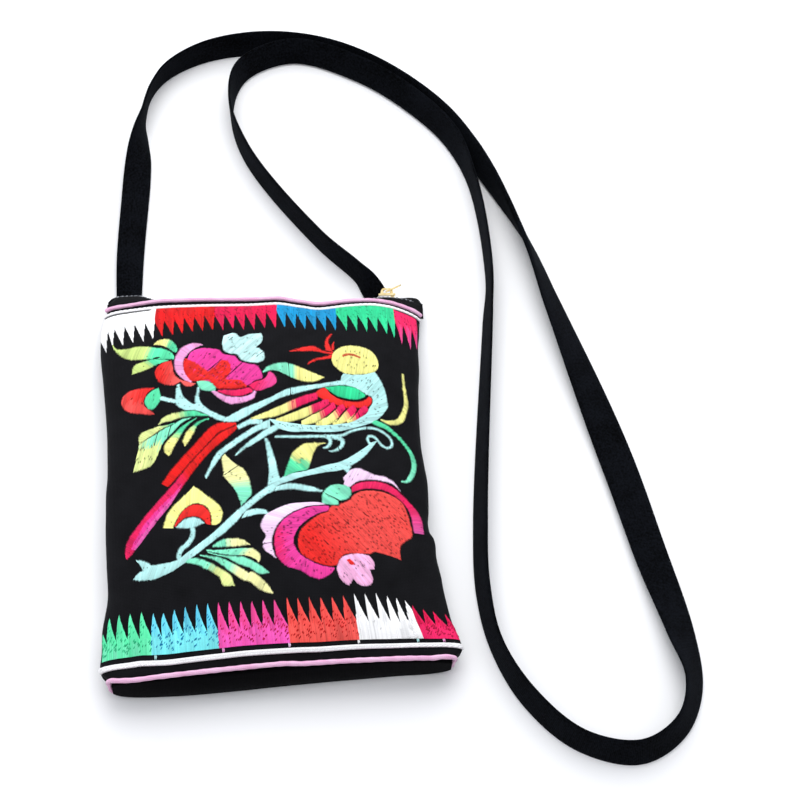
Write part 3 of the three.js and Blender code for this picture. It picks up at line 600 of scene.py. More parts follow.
# Zip: ridge across the mouth as x, y, z, and its teeth and tapes
zipper = {
    "from": -76, "to": 72.5, "tilt": 62, "toothWide": 2, "toothThick": 1.8, "closed": 1.15, "open": 1.9,
    "partFrom": 55, "partTo": 61, "tapeThick": 0.8, "tapeOut": 0.8, "tapeTuck": 0.5, "tapeDrop": 0.8,
    "frontSlack": 1.4, "slackFrom": 34, "slackTo": 50, "tapeRise": 1.6, "tapeLean": 0.8, "endClose": 0.45,
    "endFrom": 67, "pitch": 2.3, "toothLong": 1.05, "tapeFrom": -80, "tapeTo": 78.4, "tapeSteps": 200,
    "tapeRows": 8, "tapeWide": 4, "tapeEnd": 0.995, "tapeGrip": 0.5, "tapeHalf": 0.4, "ripple": 0.18,
    "rippleRate": 0.35, "firstTooth": 1.2, "spare": 1.5, "wideShare": 0.36, "thickShare": 0.38,
    "noseShift": 0.05,
    # half length and place across of a tooth, from the tape to its nose; height and inset of its four rings
    "tooth": [(1, -1.0), (1, 0.15), (0.82, 0.55), (0.62, 1.05), (0.3, 1.3)],
    "rings": [(-1, 0.72), (-0.7, 1), (0.7, 1), (1, 0.72)],
    # back edge of the tape where it shows at its ends: x, y
    "flare": [(-81, 98.6), (-80, 101), (-78, 104.2), (-75, 105.6), (-66, 105.4), (-58, 102.6), (-50, 98),
              (0, 90), (48, 97), (55, 99.6), (66, 100.4), (71, 100.4), (74.4, 99.8), (76.6, 98.4), (78, 95.6),
              (78.6, 92)],
    "ridge": [
        (-79, 99, 7), (-74, 103.4, 7.4), (-66, 103.4, 7.6), (-53, 99.8, 7.2), (-33, 98.2, 7), (-8, 98.5, 6.8),
        (4, 98.5, 6.8), (16, 96.8, 6.6), (26, 95.4, 6.4), (33, 95.4, 6.4), (42, 96.4, 6.4), (51, 98, 6.5),
        (60, 98.6, 6.6), (70, 97.4, 6.1), (76, 94.6, 5.8)],
}
tilt = math.radians(zipper["tilt"])
zipOut = np.array((0, math.sin(tilt), math.cos(tilt)))
zipAcross = np.array((0, math.cos(tilt), -math.sin(tilt)))


def teethAt(x, side):
    ridge = np.stack((x, readColumn(zipper["ridge"], 1, x), readColumn(zipper["ridge"], 2, x)), -1)
    parted = smooth(zipper["partFrom"], zipper["partTo"], x)
    end = 1 - zipper["endClose"] * smooth(zipper["endFrom"], zipper["to"], x)
    return ridge + zipAcross * (side * mix(zipper["closed"], zipper["open"] * end, parted))[..., None]


def makeTape(name, node, side):
    x = np.linspace(zipper["tapeFrom"], zipper["tapeTo"], zipper["tapeSteps"] + 1)
    left, right = pouch["sections"][-1][1:3]
    place = np.clip(2 * (x - left) / (right - left) - 1, -zipper["tapeEnd"], zipper["tapeEnd"])
    front, back = frontAt(place, 1), backAt(place, 1)
    inner = teethAt(x, side) + zipAcross * side * (zipper["toothWide"] / 2 - zipper["tapeGrip"])
    if side < 0:
        outer = np.stack((x, front[:, 1] - zipper["tapeTuck"], front[:, 2] - zipper["tapeDrop"]), -1)
    else:
        z = back[:, 2] + zipper["tapeRise"]
        y = np.maximum(back[:, 1] + zipper["tapeOut"], inner[:, 1] - zipper["tapeLean"] * (inner[:, 2] - z))
        outer = np.stack((x, np.maximum(y, readColumn(zipper["flare"], 1, x)), z), -1)
    start, end = (outer, inner) if side < 0 else (inner, outer)
    v = np.linspace(0, 1, zipper["tapeRows"] + 1)[:, None, None]
    grid = mix(start[None], end[None], v)
    slack = zipper["ripple"] * np.sin(x * zipper["rippleRate"] + side)
    if side < 0:
        slack = slack + zipper["frontSlack"] * (1 - smooth(zipper["slackFrom"], zipper["slackTo"], x))
    grid = grid + zipOut * (np.sin(np.pi * v) * slack[None, :, None])  # loose cloth between its two seams
    half = zipOut * zipper["tapeThick"] * zipper["tapeHalf"]
    lay = np.stack(np.broadcast_arrays(x[None], v[..., 0] * zipper["tapeWide"], 0.0), -1)
    piece = addSheet(name, grid + half, grid - half, lay, tapeCloth)
    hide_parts(node)


# One row of cast teeth: a block with a narrower nose, repeated along the tape's edge
def makeTeeth(name, node, side):
    count = int((zipper["to"] - zipper["from"] + zipper["spare"]) / zipper["pitch"])
    shift = 0.5 if side > 0 else 0  # the back row's teeth stand between the front row's
    x = zipper["from"] + zipper["firstTooth"] + zipper["pitch"] * (np.arange(count) + shift)
    middle = teethAt(x, side)
    wide, thick = zipper["toothWide"] * zipper["wideShare"], zipper["toothThick"] * zipper["thickShare"]
    outline = zipper["tooth"] + [(-half, across) for half, across in reversed(zipper["tooth"])]
    shape = np.array([
        (half * inset * zipper["toothLong"] / 2, -side * (across * inset + zipper["noseShift"]) * wide,
         out * thick)
        for out, inset in zipper["rings"] for half, across in outline])
    sides = len(outline)
    last = (len(zipper["rings"]) - 1) * sides
    quads = [[base + k, base + (k + 1) % sides, base + sides + (k + 1) % sides, base + sides + k]
             for base in range(0, last, sides) for k in range(sides)]
    quads += [[base + k, base + k + 1, base + sides - 2 - k, base + sides - 1 - k]
              for base in (0, last) for k in range(sides // 2 - 1)]
    points = middle[:, None] + shape @ np.stack((np.array((1.0, 0, 0)), zipAcross, zipOut))
    faces = np.array(quads)[None] + (np.arange(count) * len(shape))[:, None, None]
    piece = addPiece(name, points.reshape(-1, 3), faces.reshape(-1, 4).tolist(), nickelMetal, rounded=False)
    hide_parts(node)


for sideName, side in (("front", -1), ("back", 1)):
    makeTape("zip_cloth_" + sideName, "zip_tape_" + sideName, side)
    makeTeeth("zip_row_" + sideName, "zip_teeth_" + sideName, side)

# Slider and pull keep their solids, with their edges eased and gilt on them
easing = {"width": 0.18, "segments": 3}
for node in ("zip_slider", "zip_pull"):
    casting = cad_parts[node]
    casting.data.materials.clear()
    casting.data.materials.append(giltMetal)
    ease = casting.modifiers.new("eased edges", "BEVEL")
    ease.width = easing["width"] * mm
    ease.segments = easing["segments"]
    ease.limit_method = "ANGLE"
print("zip made")

# Embroidery, drawn on the chart of the front
threadDyes = {
    "aqua": "#B8EAE7", "frost": "#C6EEEB", "coral": "#F0605B", "poppy": "#EE4F49", "scarlet": "#DE1612",
    "garnet": "#D4090D", "claret": "#D60648", "fuchsia": "#FA5EC0", "salmon": "#FF625A", "cerise": "#FA286E",
    "lime": "#DEE998", "pear": "#CBE286", "cream": "#F6F4AF", "butter": "#FFFA98", "yellow": "#EEEA91",
    "mint": "#58DAA3", "seafoam": "#88EAC5", "red": "#E82823", "crimson": "#E61E5E",
    "magenta": "#E93C9C", "pink": "#EDA2D4", "palePink": "#F9D8F5", "orchid": "#F2B4DA", "white": "#FBFBFB",
    "blue": "#0A93C8", "sky": "#3FB2E2", "ice": "#80ECF0", "jade": "#5EE7AA",
    "green": "#2ECE8F", "rust": "#C8603A", "black": "#0C0A0C", "blush": "#EA62B2", "rose": "#EB4793",
}
stitch = {
    "pitch": 0.42, "width": 0.5, "segment": 1.5, "longest": 7, "shortest": 0.35, "lap": 0.25, "bite": 0.32,
    "brick": 0.7,
    # height and roundness of a stitch
    "rise": 0.3, "riseFrom": 0.55, "riseOver": 9, "riseLimits": (0.6, 1.5), "edge": 0.2, "archPower": 0.5,
    "taper": 0.7, "held": 0.8, "liftFrom": 0.35, "sink": 0.04, "slant": 0.35, "thinLine": 0.4,
    # unevenness of the hand, and of the dye
    "uneven": 0.1, "lineUneven": 0.07, "liftUneven": 0.02, "skip": 0.004, "tone": 0.07, "drift": 0.06,
    "neighbours": 9, "bleed": 0.5,
    # needle marks: short darker stitches, painted shade where the needle takes the thread down
    "fleck": 0.3, "fleckBack": 0.4, "fleckAhead": 0.5, "fleckLift": 0.42, "dim": 0.42, "stray": 0.04,
    "strayFrom": 2, "strayInset": 0.2, "strayHalf": 0.35,
    # lines through points: longest tangent for the nearer point, how straight a turn must be to stay smooth
    "tangent": 1.2, "sharp": 0.35,
}
dyeColour = {name: np.array(linear(colour)[:3]) for name, colour in threadDyes.items()}

chartPoints = frontAt(np.linspace(-1, 1, chartColumns + 1)[None, :],
                      np.linspace(0, 1, chartRows + 1)[:, None])
chartNormals = normalsOf(chartPoints)


def onFront(chart, height):
    i = np.clip((chart[:, 0] / chartHalf + 1) / 2 * chartColumns, 0, chartColumns - 0.001)
    j = np.clip((chart[:, 1] - pouch["bottomEdge"]) / chartTall * chartRows, 0, chartRows - 0.001)
    i0, j0 = i.astype(int), j.astype(int)
    f, g = (i - i0)[:, None], (j - j0)[:, None]
    row = lambda grid, j: mix(grid[j, i0], grid[j, i0 + 1], f)
    read = lambda grid: mix(row(grid, j0), row(grid, j0 + 1), g)
    return read(chartPoints) + read(chartNormals) * height[:, None]


# Smooth line through points, kept sharp where it turns hard
def smoothLine(points, closed=False, spans=6):
    p = np.array(points, float)
    before, after = np.roll(p, 1, 0), np.roll(p, -1, 0)
    if not closed:
        before[0], after[-1] = p[0], p[-1]
    come, go = p - before, after - p
    comeLong, goLong = (np.maximum(np.linalg.norm(d[:, :2], axis=1), 1e-6) for d in (come, go))
    straight = (come[:, :2] * go[:, :2]).sum(1) / (comeLong * goLong)
    tangent = (after - before) / 2
    tangentLong = np.maximum(np.linalg.norm(tangent[:, :2], axis=1), 1e-6)
    reach = np.minimum(1, stitch["tangent"] * np.minimum(comeLong, goLong) / tangentLong)
    if not closed:
        reach[[0, -1]] = 1
        straight[[0, -1]] = 1
    tangent = tangent * (reach * (straight > stitch["sharp"]))[:, None]
    f = (np.arange(spans) / spans)[None, :, None]
    count = len(p) if closed else len(p) - 1
    nextPoint, nextTangent = np.roll(p, -1, 0), np.roll(tangent, -1, 0)
    a, b, c, d = (q[:count, None] for q in (p, nextPoint, tangent, nextTangent))
    line = a * (1 + 2 * f) * (1 - f) ** 2 + b * f * f * (3 - 2 * f)
    line = line + c * f * (1 - f) ** 2 - d * f * f * (1 - f)
    line = line.reshape(-1, p.shape[1])
    return line if closed else np.concatenate((line, p[-1:]))


def evenly(line, count):
    gone = np.concatenate(([0], np.cumsum(np.linalg.norm(np.diff(line[:, :2], axis=0), axis=1))))
    at = np.linspace(0, gone[-1], count)
    return np.stack([np.interp(at, gone, line[:, k]) for k in range(line.shape[1])], 1)


def lengthOf(line):
    return np.linalg.norm(np.diff(line[:, :2], axis=0), axis=1).sum()


# A thread is a dye name, or (angle, from, dye, to, dye): one dye passes to the other along that direction
def dyeAt(thread, chart):
    if isinstance(thread, str):
        return np.repeat(dyeColour[thread][None], len(chart), 0)
    angle, low, first, high, second = thread
    along = chart[:, 0] * math.cos(math.radians(angle)) + chart[:, 1] * math.sin(math.radians(angle))
    along = along + chance.normal(0, stitch["bleed"], len(chart))
    share = np.clip((along - low) / (high - low), 0, 1)[:, None]
    return mix(dyeColour[first][None], dyeColour[second][None], share)


def newThreads():
    return {"starts": [], "ends": [], "dyes": [], "lifts": [], "rises": [], "joins": []}


# joins: for each stitch, whether its start and its end meet another stitch of the same row
def sew(threads, starts, ends, thread, lift=0.0, joins=None, shade=1.0):
    starts, ends = np.asarray(starts, float), np.asarray(ends, float)
    joins = np.zeros((len(starts), 2), bool) if joins is None else np.asarray(joins, bool)
    kept = chance.random(len(starts)) > stitch["skip"]
    starts, ends, joins = starts[kept], ends[kept], joins[kept]
    if not len(starts):
        return
    # a few neighbours darken together
    near = stitch["neighbours"]
    single = chance.normal(0, stitch["drift"] * 2, len(starts) + near - 1)
    drift = np.convolve(single, np.full(near, 2 / near), "valid")
    tone = shade * (1 + chance.normal(0, stitch["tone"], (len(starts), 1)) + drift[:, None])
    threads["starts"].append(starts)
    threads["ends"].append(ends)
    threads["dyes"].append(np.clip(dyeAt(thread, (starts + ends) / 2) * tone, 0, 1))
    threads["lifts"].append(np.full(len(starts), lift) + chance.normal(0, stitch["liftUneven"], len(starts)))
    long = np.linalg.norm(ends - starts, axis=1)
    arched = np.clip(stitch["riseFrom"] + long / stitch["riseOver"], *stitch["riseLimits"])
    threads["rises"].append(stitch["rise"] * arched)
    threads["joins"].append(joins)


# Long runs are split brick-wise, so their ends don't line up
def sewRuns(threads, starts, ends, thread, lift, longest):
    a, b, joins, shadeFlecks = [], [], [], []
    for start, end in zip(starts, ends):
        long = np.linalg.norm(end - start)
        if long < stitch["shortest"]:
            continue
        pieces = max(1, int(round(long / longest)))
        cuts = np.linspace(0, 1, pieces + 1)
        if pieces > 1:
            cuts[1:-1] += (chance.random(pieces - 1) - 0.5) * stitch["brick"] / pieces
        lap = stitch["lap"] / long
        for k in range(pieces):
            a.append(mix(start, end, cuts[k] - lap * (k > 0)))
            b.append(mix(start, end, cuts[k + 1] + lap * (k + 1 < pieces)))
            joins.append((k > 0, k + 1 < pieces))
            if k and chance.random() < stitch["fleck"]:
                low, high = cuts[k] - stitch["fleckBack"] / long, cuts[k] + stitch["fleckAhead"] / long
                shadeFlecks.append((low, high, start, end))
        if pieces == 1 and long > stitch["strayFrom"] and chance.random() < stitch["stray"]:
            spot = mix(stitch["strayInset"], 1 - stitch["strayInset"], chance.random())
            shadeFlecks.append((spot - stitch["strayHalf"] / long, spot + stitch["strayHalf"] / long, start, end))
    if a:
        sew(threads, a, b, thread, lift, joins)
    # needle marks: dimmed short stitches laid on top, painted shade in the thread's dips
    if shadeFlecks:  # needle marks, darker than the thread
        a, b = ([mix(fleck[2], fleck[3], fleck[k]) for fleck in shadeFlecks] for k in (0, 1))
        sew(threads, a, b, thread, lift + stitch["fleckLift"], [(1, 1)] * len(shadeFlecks), stitch["dim"])


# Satin between two edges
def sewSatin(threads, thread, edgeA, edgeB, lift=0.0, longest=None):
    a, b = smoothLine(edgeA), smoothLine(edgeB)
    count = max(int(max(lengthOf(a), lengthOf(b)) / stitch["pitch"]), 3)
    a, b = evenly(a, count)[:, :2], evenly(b, count)[:, :2]
    over = (b - a) / np.maximum(np.linalg.norm(b - a, axis=1, keepdims=True), 1e-6)
    wander = chance.normal(0, stitch["uneven"], (count, 1))
    starts, ends = a - over * (stitch["bite"] + wander), b + over * (stitch["bite"] - wander)
    sewRuns(threads, starts, ends, thread, lift, longest or stitch["longest"])


# Satin across a line: x, y, width
def sewLine(threads, thread, line, lift=0.0):
    line = smoothLine(line)
    line = evenly(line, max(int(lengthOf(line) / stitch["pitch"]), 3))
    run = np.gradient(line[:, :2], axis=0)
    run /= np.maximum(np.linalg.norm(run, axis=1, keepdims=True), 1e-6)
    side = np.stack((-run[:, 1], run[:, 0]), 1)
    wide = line[:, 2:3]
    half = wide / 2 + stitch["bite"] * np.clip(wide - stitch["thinLine"], 0, 1)
    half = half + chance.normal(0, stitch["lineUneven"], (len(line), 1))
    over = side * half + run * half * stitch["slant"]
    sewRuns(threads, line[:, :2] - over, line[:, :2] + over, thread, lift, stitch["longest"])


# Rows of stitches inside an outline, at an angle
def sewFill(threads, thread, angle, outline, lift=0.0, longest=None):
    edge = smoothLine(outline, closed=True)
    c, s = math.cos(math.radians(angle)), math.sin(math.radians(angle))
    turned = np.stack((edge[:, 0] * c + edge[:, 1] * s, edge[:, 1] * c - edge[:, 0] * s), 1)
    u, v = turned[:, 0], turned[:, 1]
    uNext, vNext = np.roll(u, -1), np.roll(v, -1)
    starts, ends = [], []
    for row in np.arange(v.min() + stitch["pitch"] / 2, v.max(), stitch["pitch"]):
        crossed = (v <= row) != (vNext <= row)
        if not crossed.any():
            continue
        share = (row - v[crossed]) / (vNext[crossed] - v[crossed])
        meets = np.sort(mix(u[crossed], uNext[crossed], share))
        for low, high in zip(meets[::2], meets[1::2]):
            low = low - stitch["bite"] + chance.normal(0, stitch["uneven"])
            high = high + stitch["bite"] + chance.normal(0, stitch["uneven"])
            starts.append((low * c - row * s, low * s + row * c))
            ends.append((high * c - row * s, high * s + row * c))
    sewRuns(threads, np.array(starts), np.array(ends), thread, lift, longest or stitch["longest"])


# Every stitch becomes a low arched ribbon whose ends go into the cloth
def makeThreads(name, threads):
    starts, ends, dyes = (np.concatenate(threads[k]) for k in ("starts", "ends", "dyes"))
    lifts, rises, joins = (np.concatenate(threads[k]) for k in ("lifts", "rises", "joins"))
    long = np.linalg.norm(ends - starts, axis=1)
    over = (ends - starts) / np.maximum(long, 1e-6)[:, None]
    side = np.stack((-over[:, 1], over[:, 0]), 1)
    parts = np.maximum(2, np.ceil(long / stitch["segment"]).astype(int))
    points, quads, colours, lays = [], [], [], []
    first = 0
    for count in np.unique(parts):
        chosen = parts == count
        n = int(chosen.sum())
        f = np.linspace(0, 1, count + 1)
        arch = np.clip(np.sin(np.pi * f), 0, 1) ** stitch["archPower"]
        half = stitch["width"] / 2 * mix(stitch["taper"], 1, arch)
        line = mix(starts[chosen][:, None], ends[chosen][:, None], f[None, :, None])
        held = np.where(f[None] < 0.5, joins[chosen][:, :1], joins[chosen][:, 1:]) * stitch["held"]
        raised = np.maximum(arch[None], held)
        lifted = lifts[chosen][:, None] * mix(stitch["liftFrom"], 1, raised)
        high = lifted + rises[chosen][:, None] * raised - stitch["sink"]
        aside = side[chosen][:, None] * half[None, :, None]
        chart = np.stack((line - aside, line, line + aside), 2).reshape(-1, 2)
        height = np.stack((high - stitch["edge"], high, high - stitch["edge"]), 2).ravel()
        points.append(onFront(chart, height))
        colours.append(np.repeat(dyes[chosen], 3 * (count + 1), 0))
        gone = np.repeat((long[chosen][:, None] * f[None])[..., None], 3, 2)
        across = np.broadcast_to(np.array((-1, 0, 1)) * stitch["width"] / 2, gone.shape)
        lays.append(np.stack((gone, across, gone * 0), -1).reshape(-1, 3))
        starting = first + np.arange(n) * 3 * (count + 1)
        quads.append((gridQuads(count + 1, 3)[None] + starting[:, None, None]).reshape(-1, 4))
        first += n * 3 * (count + 1)
    colours = np.concatenate(colours)
    faces = np.concatenate(quads)[:, ::-1].tolist()
    piece = addPiece(name, np.concatenate(points), faces, rayonThread, np.concatenate(lays))
    dye = piece.data.color_attributes.new("dye", "FLOAT_COLOR", "POINT")
    dye.data.foreach_set("color", np.concatenate((colours, np.ones((len(colours), 1))), 1).ravel())
    print(name, len(starts), "stitches,", 2 * len(piece.data.polygons), "triangles")
    return piece


# Sawtooth bands: blocks of dye with their teeth's tips, the level of the valleys, and the base line
bandSewing = {
    "side": 79.4, "close": 0.78, "steps": 160, "fewest": 2, "cutFrom": 0.42, "cutSpread": 0.2,
    "markRows": (0.25, 0.5, 0.72), "markSpread": 0.12, "markShare": 0.75, "whiteMarkShare": 0.06,
    "markSlant": (-0.3, 0.5), "markLift": 0.36,
}
# a block is its left border, its thread and the dye of its needle marks, darker stitches of painted shade
topBand = {
    "base": 92.4, "steep": 0.45, "marks": 0.2, "needleShade": 0.5, "reach": -0.9, "far": 58,
    "slope": [(-80, -1.3), (80, -1.3)],
    "sway": [(-80, -3.1), (-56, -2.9), (-53, -0.5), (66, -0.5), (69, -2.9), (80, -3.1)],
    "blocks": [(-90, "white", "white"), (-53.4, "garnet", "garnet"), (-23.8, "claret", "claret"),
               (7.3, "blue", "blue"), (37.2, "green", "green"),
               (66.8, (90, 62, "blush", 76, "crimson"), "claret")],
    "tips": [(-81.5, 68), (-77, 66.5), (-74, 69), (-69, 67.8), (-64, 68.5), (-58.8, 68.3), (-54, 69),
             (-49.4, 70), (-44.2, 70.4), (-39.4, 71), (-34.4, 71.8), (-29.3, 71.8), (-24.3, 71.8),
             (-19.3, 72.2), (-14.2, 72.2), (-9, 71.3), (-3.8, 71.5), (1.5, 72), (6.8, 71.8), (11.4, 72),
             (16.5, 71.8), (21.5, 70.8), (26.6, 70), (31.6, 69.8), (36.7, 69.5), (42.2, 69.5), (47.3, 69.7),
             (52.4, 69.3), (57.4, 69.3), (62.5, 68.8), (66.3, 66.3), (70.3, 63), (75, 61.2), (79, 64)],
    "valleys": [(-80, 79.5), (-55, 80.5), (-24, 83.5), (8, 84.5), (34, 84.5), (52, 81.5), (66, 79), (80, 73)],
}
bottomBand = {
    "base": -91.2, "steep": 0.1, "marks": 0.42, "needleShade": 0.7, "reach": 0.9, "far": -66,
    "sway": trims["sway"],
    "slope": [(-80, 0.5), (48, 0.3), (55, 1.8), (61.5, 5), (70, 2.4), (80, 0.4)],
    "blocks": [(-90, (90, -91.5, "seafoam", -86, "jade"), "green"),
               (-56.6, (90, -86, "ice", -70, "sky"), "blue"),
               (-27, (90, -88, "fuchsia", -79, "rose"), "claret"),
               (4.4, (90, -89, "salmon", -79, "poppy"), "garnet"), (35.4, "white", "white"),
               (61.4, (90, -88, "cerise", -80, "claret"), "claret")],
    "tips": [(-81.8, -73), (-76.8, -72.8), (-72.2, -72.5), (-66.9, -73), (-61.6, -73), (-56.2, -73.7),
             (-51.7, -73.5), (-46.8, -72.6), (-41.8, -72), (-36.5, -71.6), (-31.5, -71.4), (-26.6, -71.3),
             (-21.7, -70.8), (-16.6, -70.8), (-11.5, -70.7), (-6.4, -70.7), (-1.2, -70.7), (4.8, -70.5),
             (9.6, -70.5), (14.8, -70.3), (20, -70.2), (25.3, -70.3), (30.5, -70), (35.8, -69.5),
             (40.8, -69.6), (46, -69.4), (50.8, -69.8), (55, -71), (59, -72.7), (61.9, -74.8), (66.6, -76.5),
             (71.3, -77.5), (77, -78), (82, -79)],
    "valleys": [(-80, -84.5), (-40, -83.3), (0, -82.4), (45, -81.3), (59.5, -82.2), (61.5, -76.4),
                (62.5, -76.4), (65, -83), (70, -83.5), (80, -84)],
}


def sewBand(threads, band, teethSide):
    tips = np.array(band["tips"])
    valley = readColumn(band["valleys"], 1, tips[:, 0])
    foot = np.stack((tips[:, 0] + teethSide * band["steep"], valley), 1)  # the steep side's foot
    edge = np.concatenate((tips + np.array((0, band["reach"])), foot))
    edge = edge[np.argsort(edge[:, 0])]
    x = np.arange(-bandSewing["side"], bandSewing["side"], stitch["pitch"] * bandSewing["close"])
    base = np.stack((x + readColumn(band["slope"], 1, x), band["base"] + readColumn(band["sway"], 1, x)), 1)
    far = np.stack((x, np.full(len(x), band["far"])), 1)
    # each thread runs from the base towards the far line until it meets the teeth's edge
    share = np.linspace(0, 1, bandSewing["steps"] + 1)
    line = mix(base[:, None], far[:, None], share[None, :, None])
    inside = (np.interp(line[..., 0], edge[:, 0], edge[:, 1]) - line[..., 1]) * np.sign(band["reach"]) > 0
    last = np.cumprod(inside, 1).sum(1).clip(bandSewing["fewest"], bandSewing["steps"])
    end = mix(base, far, share[last][:, None])
    end = end + chance.normal(0, stitch["uneven"], len(x))[:, None] * np.array((0, 1))
    cutShare = bandSewing["cutFrom"] + bandSewing["cutSpread"] * chance.random(len(x))
    cut = mix(base, end, cutShare[:, None])
    over = (end - base) / np.linalg.norm(end - base, axis=1, keepdims=True)
    lap = over * stitch["lap"]
    borders = np.array([block[0] for block in band["blocks"]])
    owner = np.searchsorted(borders, end[:, 0], side="right") - 1
    slant = np.array(bandSewing["markSlant"]) * (1, np.sign(band["base"]))
    for i, block in enumerate(band["blocks"]):
        dye, needle = block[1:]
        markShare = bandSewing["whiteMarkShare" if dye == "white" else "markShare"]
        mine = owner == i
        count = int(mine.sum())
        sew(threads, base[mine], cut[mine] + lap[mine], dye, 0, [(1, 1)] * count)
        sew(threads, cut[mine] - lap[mine], end[mine], dye, 0, [(1, 0)] * count)
        # needle marks in a darker dye, dimmed further by needleShade: painted shade
        for row in bandSewing["markRows"]:  # rows of slanting needle marks
            marked = mine & (chance.random(len(x)) < band["marks"] * markShare)
            if not marked.any():
                continue
            share = row + bandSewing["markSpread"] * (chance.random(int(marked.sum())) - 0.5)
            spot = mix(base[marked], end[marked], share[:, None])
            held = [(1, 1)] * len(spot)
            sew(threads, spot - slant, spot + slant, needle, bandSewing["markLift"], held,
                band["needleShade"])


bandThreads = newThreads()
sewBand(bandThreads, topBand, 1)
sewBand(bandThreads, bottomBand, -1)
# Jump threads left between the bottom blocks and the braid, two at a place: start and end of each
jumps = np.array((((-0.3, -90.5), (-0.2, -93.6)), ((0.2, -90.5), (0.4, -93.4))))
for x, dye in ((-54.8, "aqua"), (-24.9, "pink"), (4.3, "palePink"), (35, "white"), (61.5, "aqua"),
               (73, "pink")):
    runs = jumps + np.array((x, float(readColumn(trims["sway"], 1, x))))
    sew(bandThreads, runs[:, 0], runs[:, 1], dye)

# Motifs: satin has a thread and two edges, fill a thread, an angle and an outline
# Line has a thread and x, y, width; a lift may follow, and in satin and fill the longest stitch

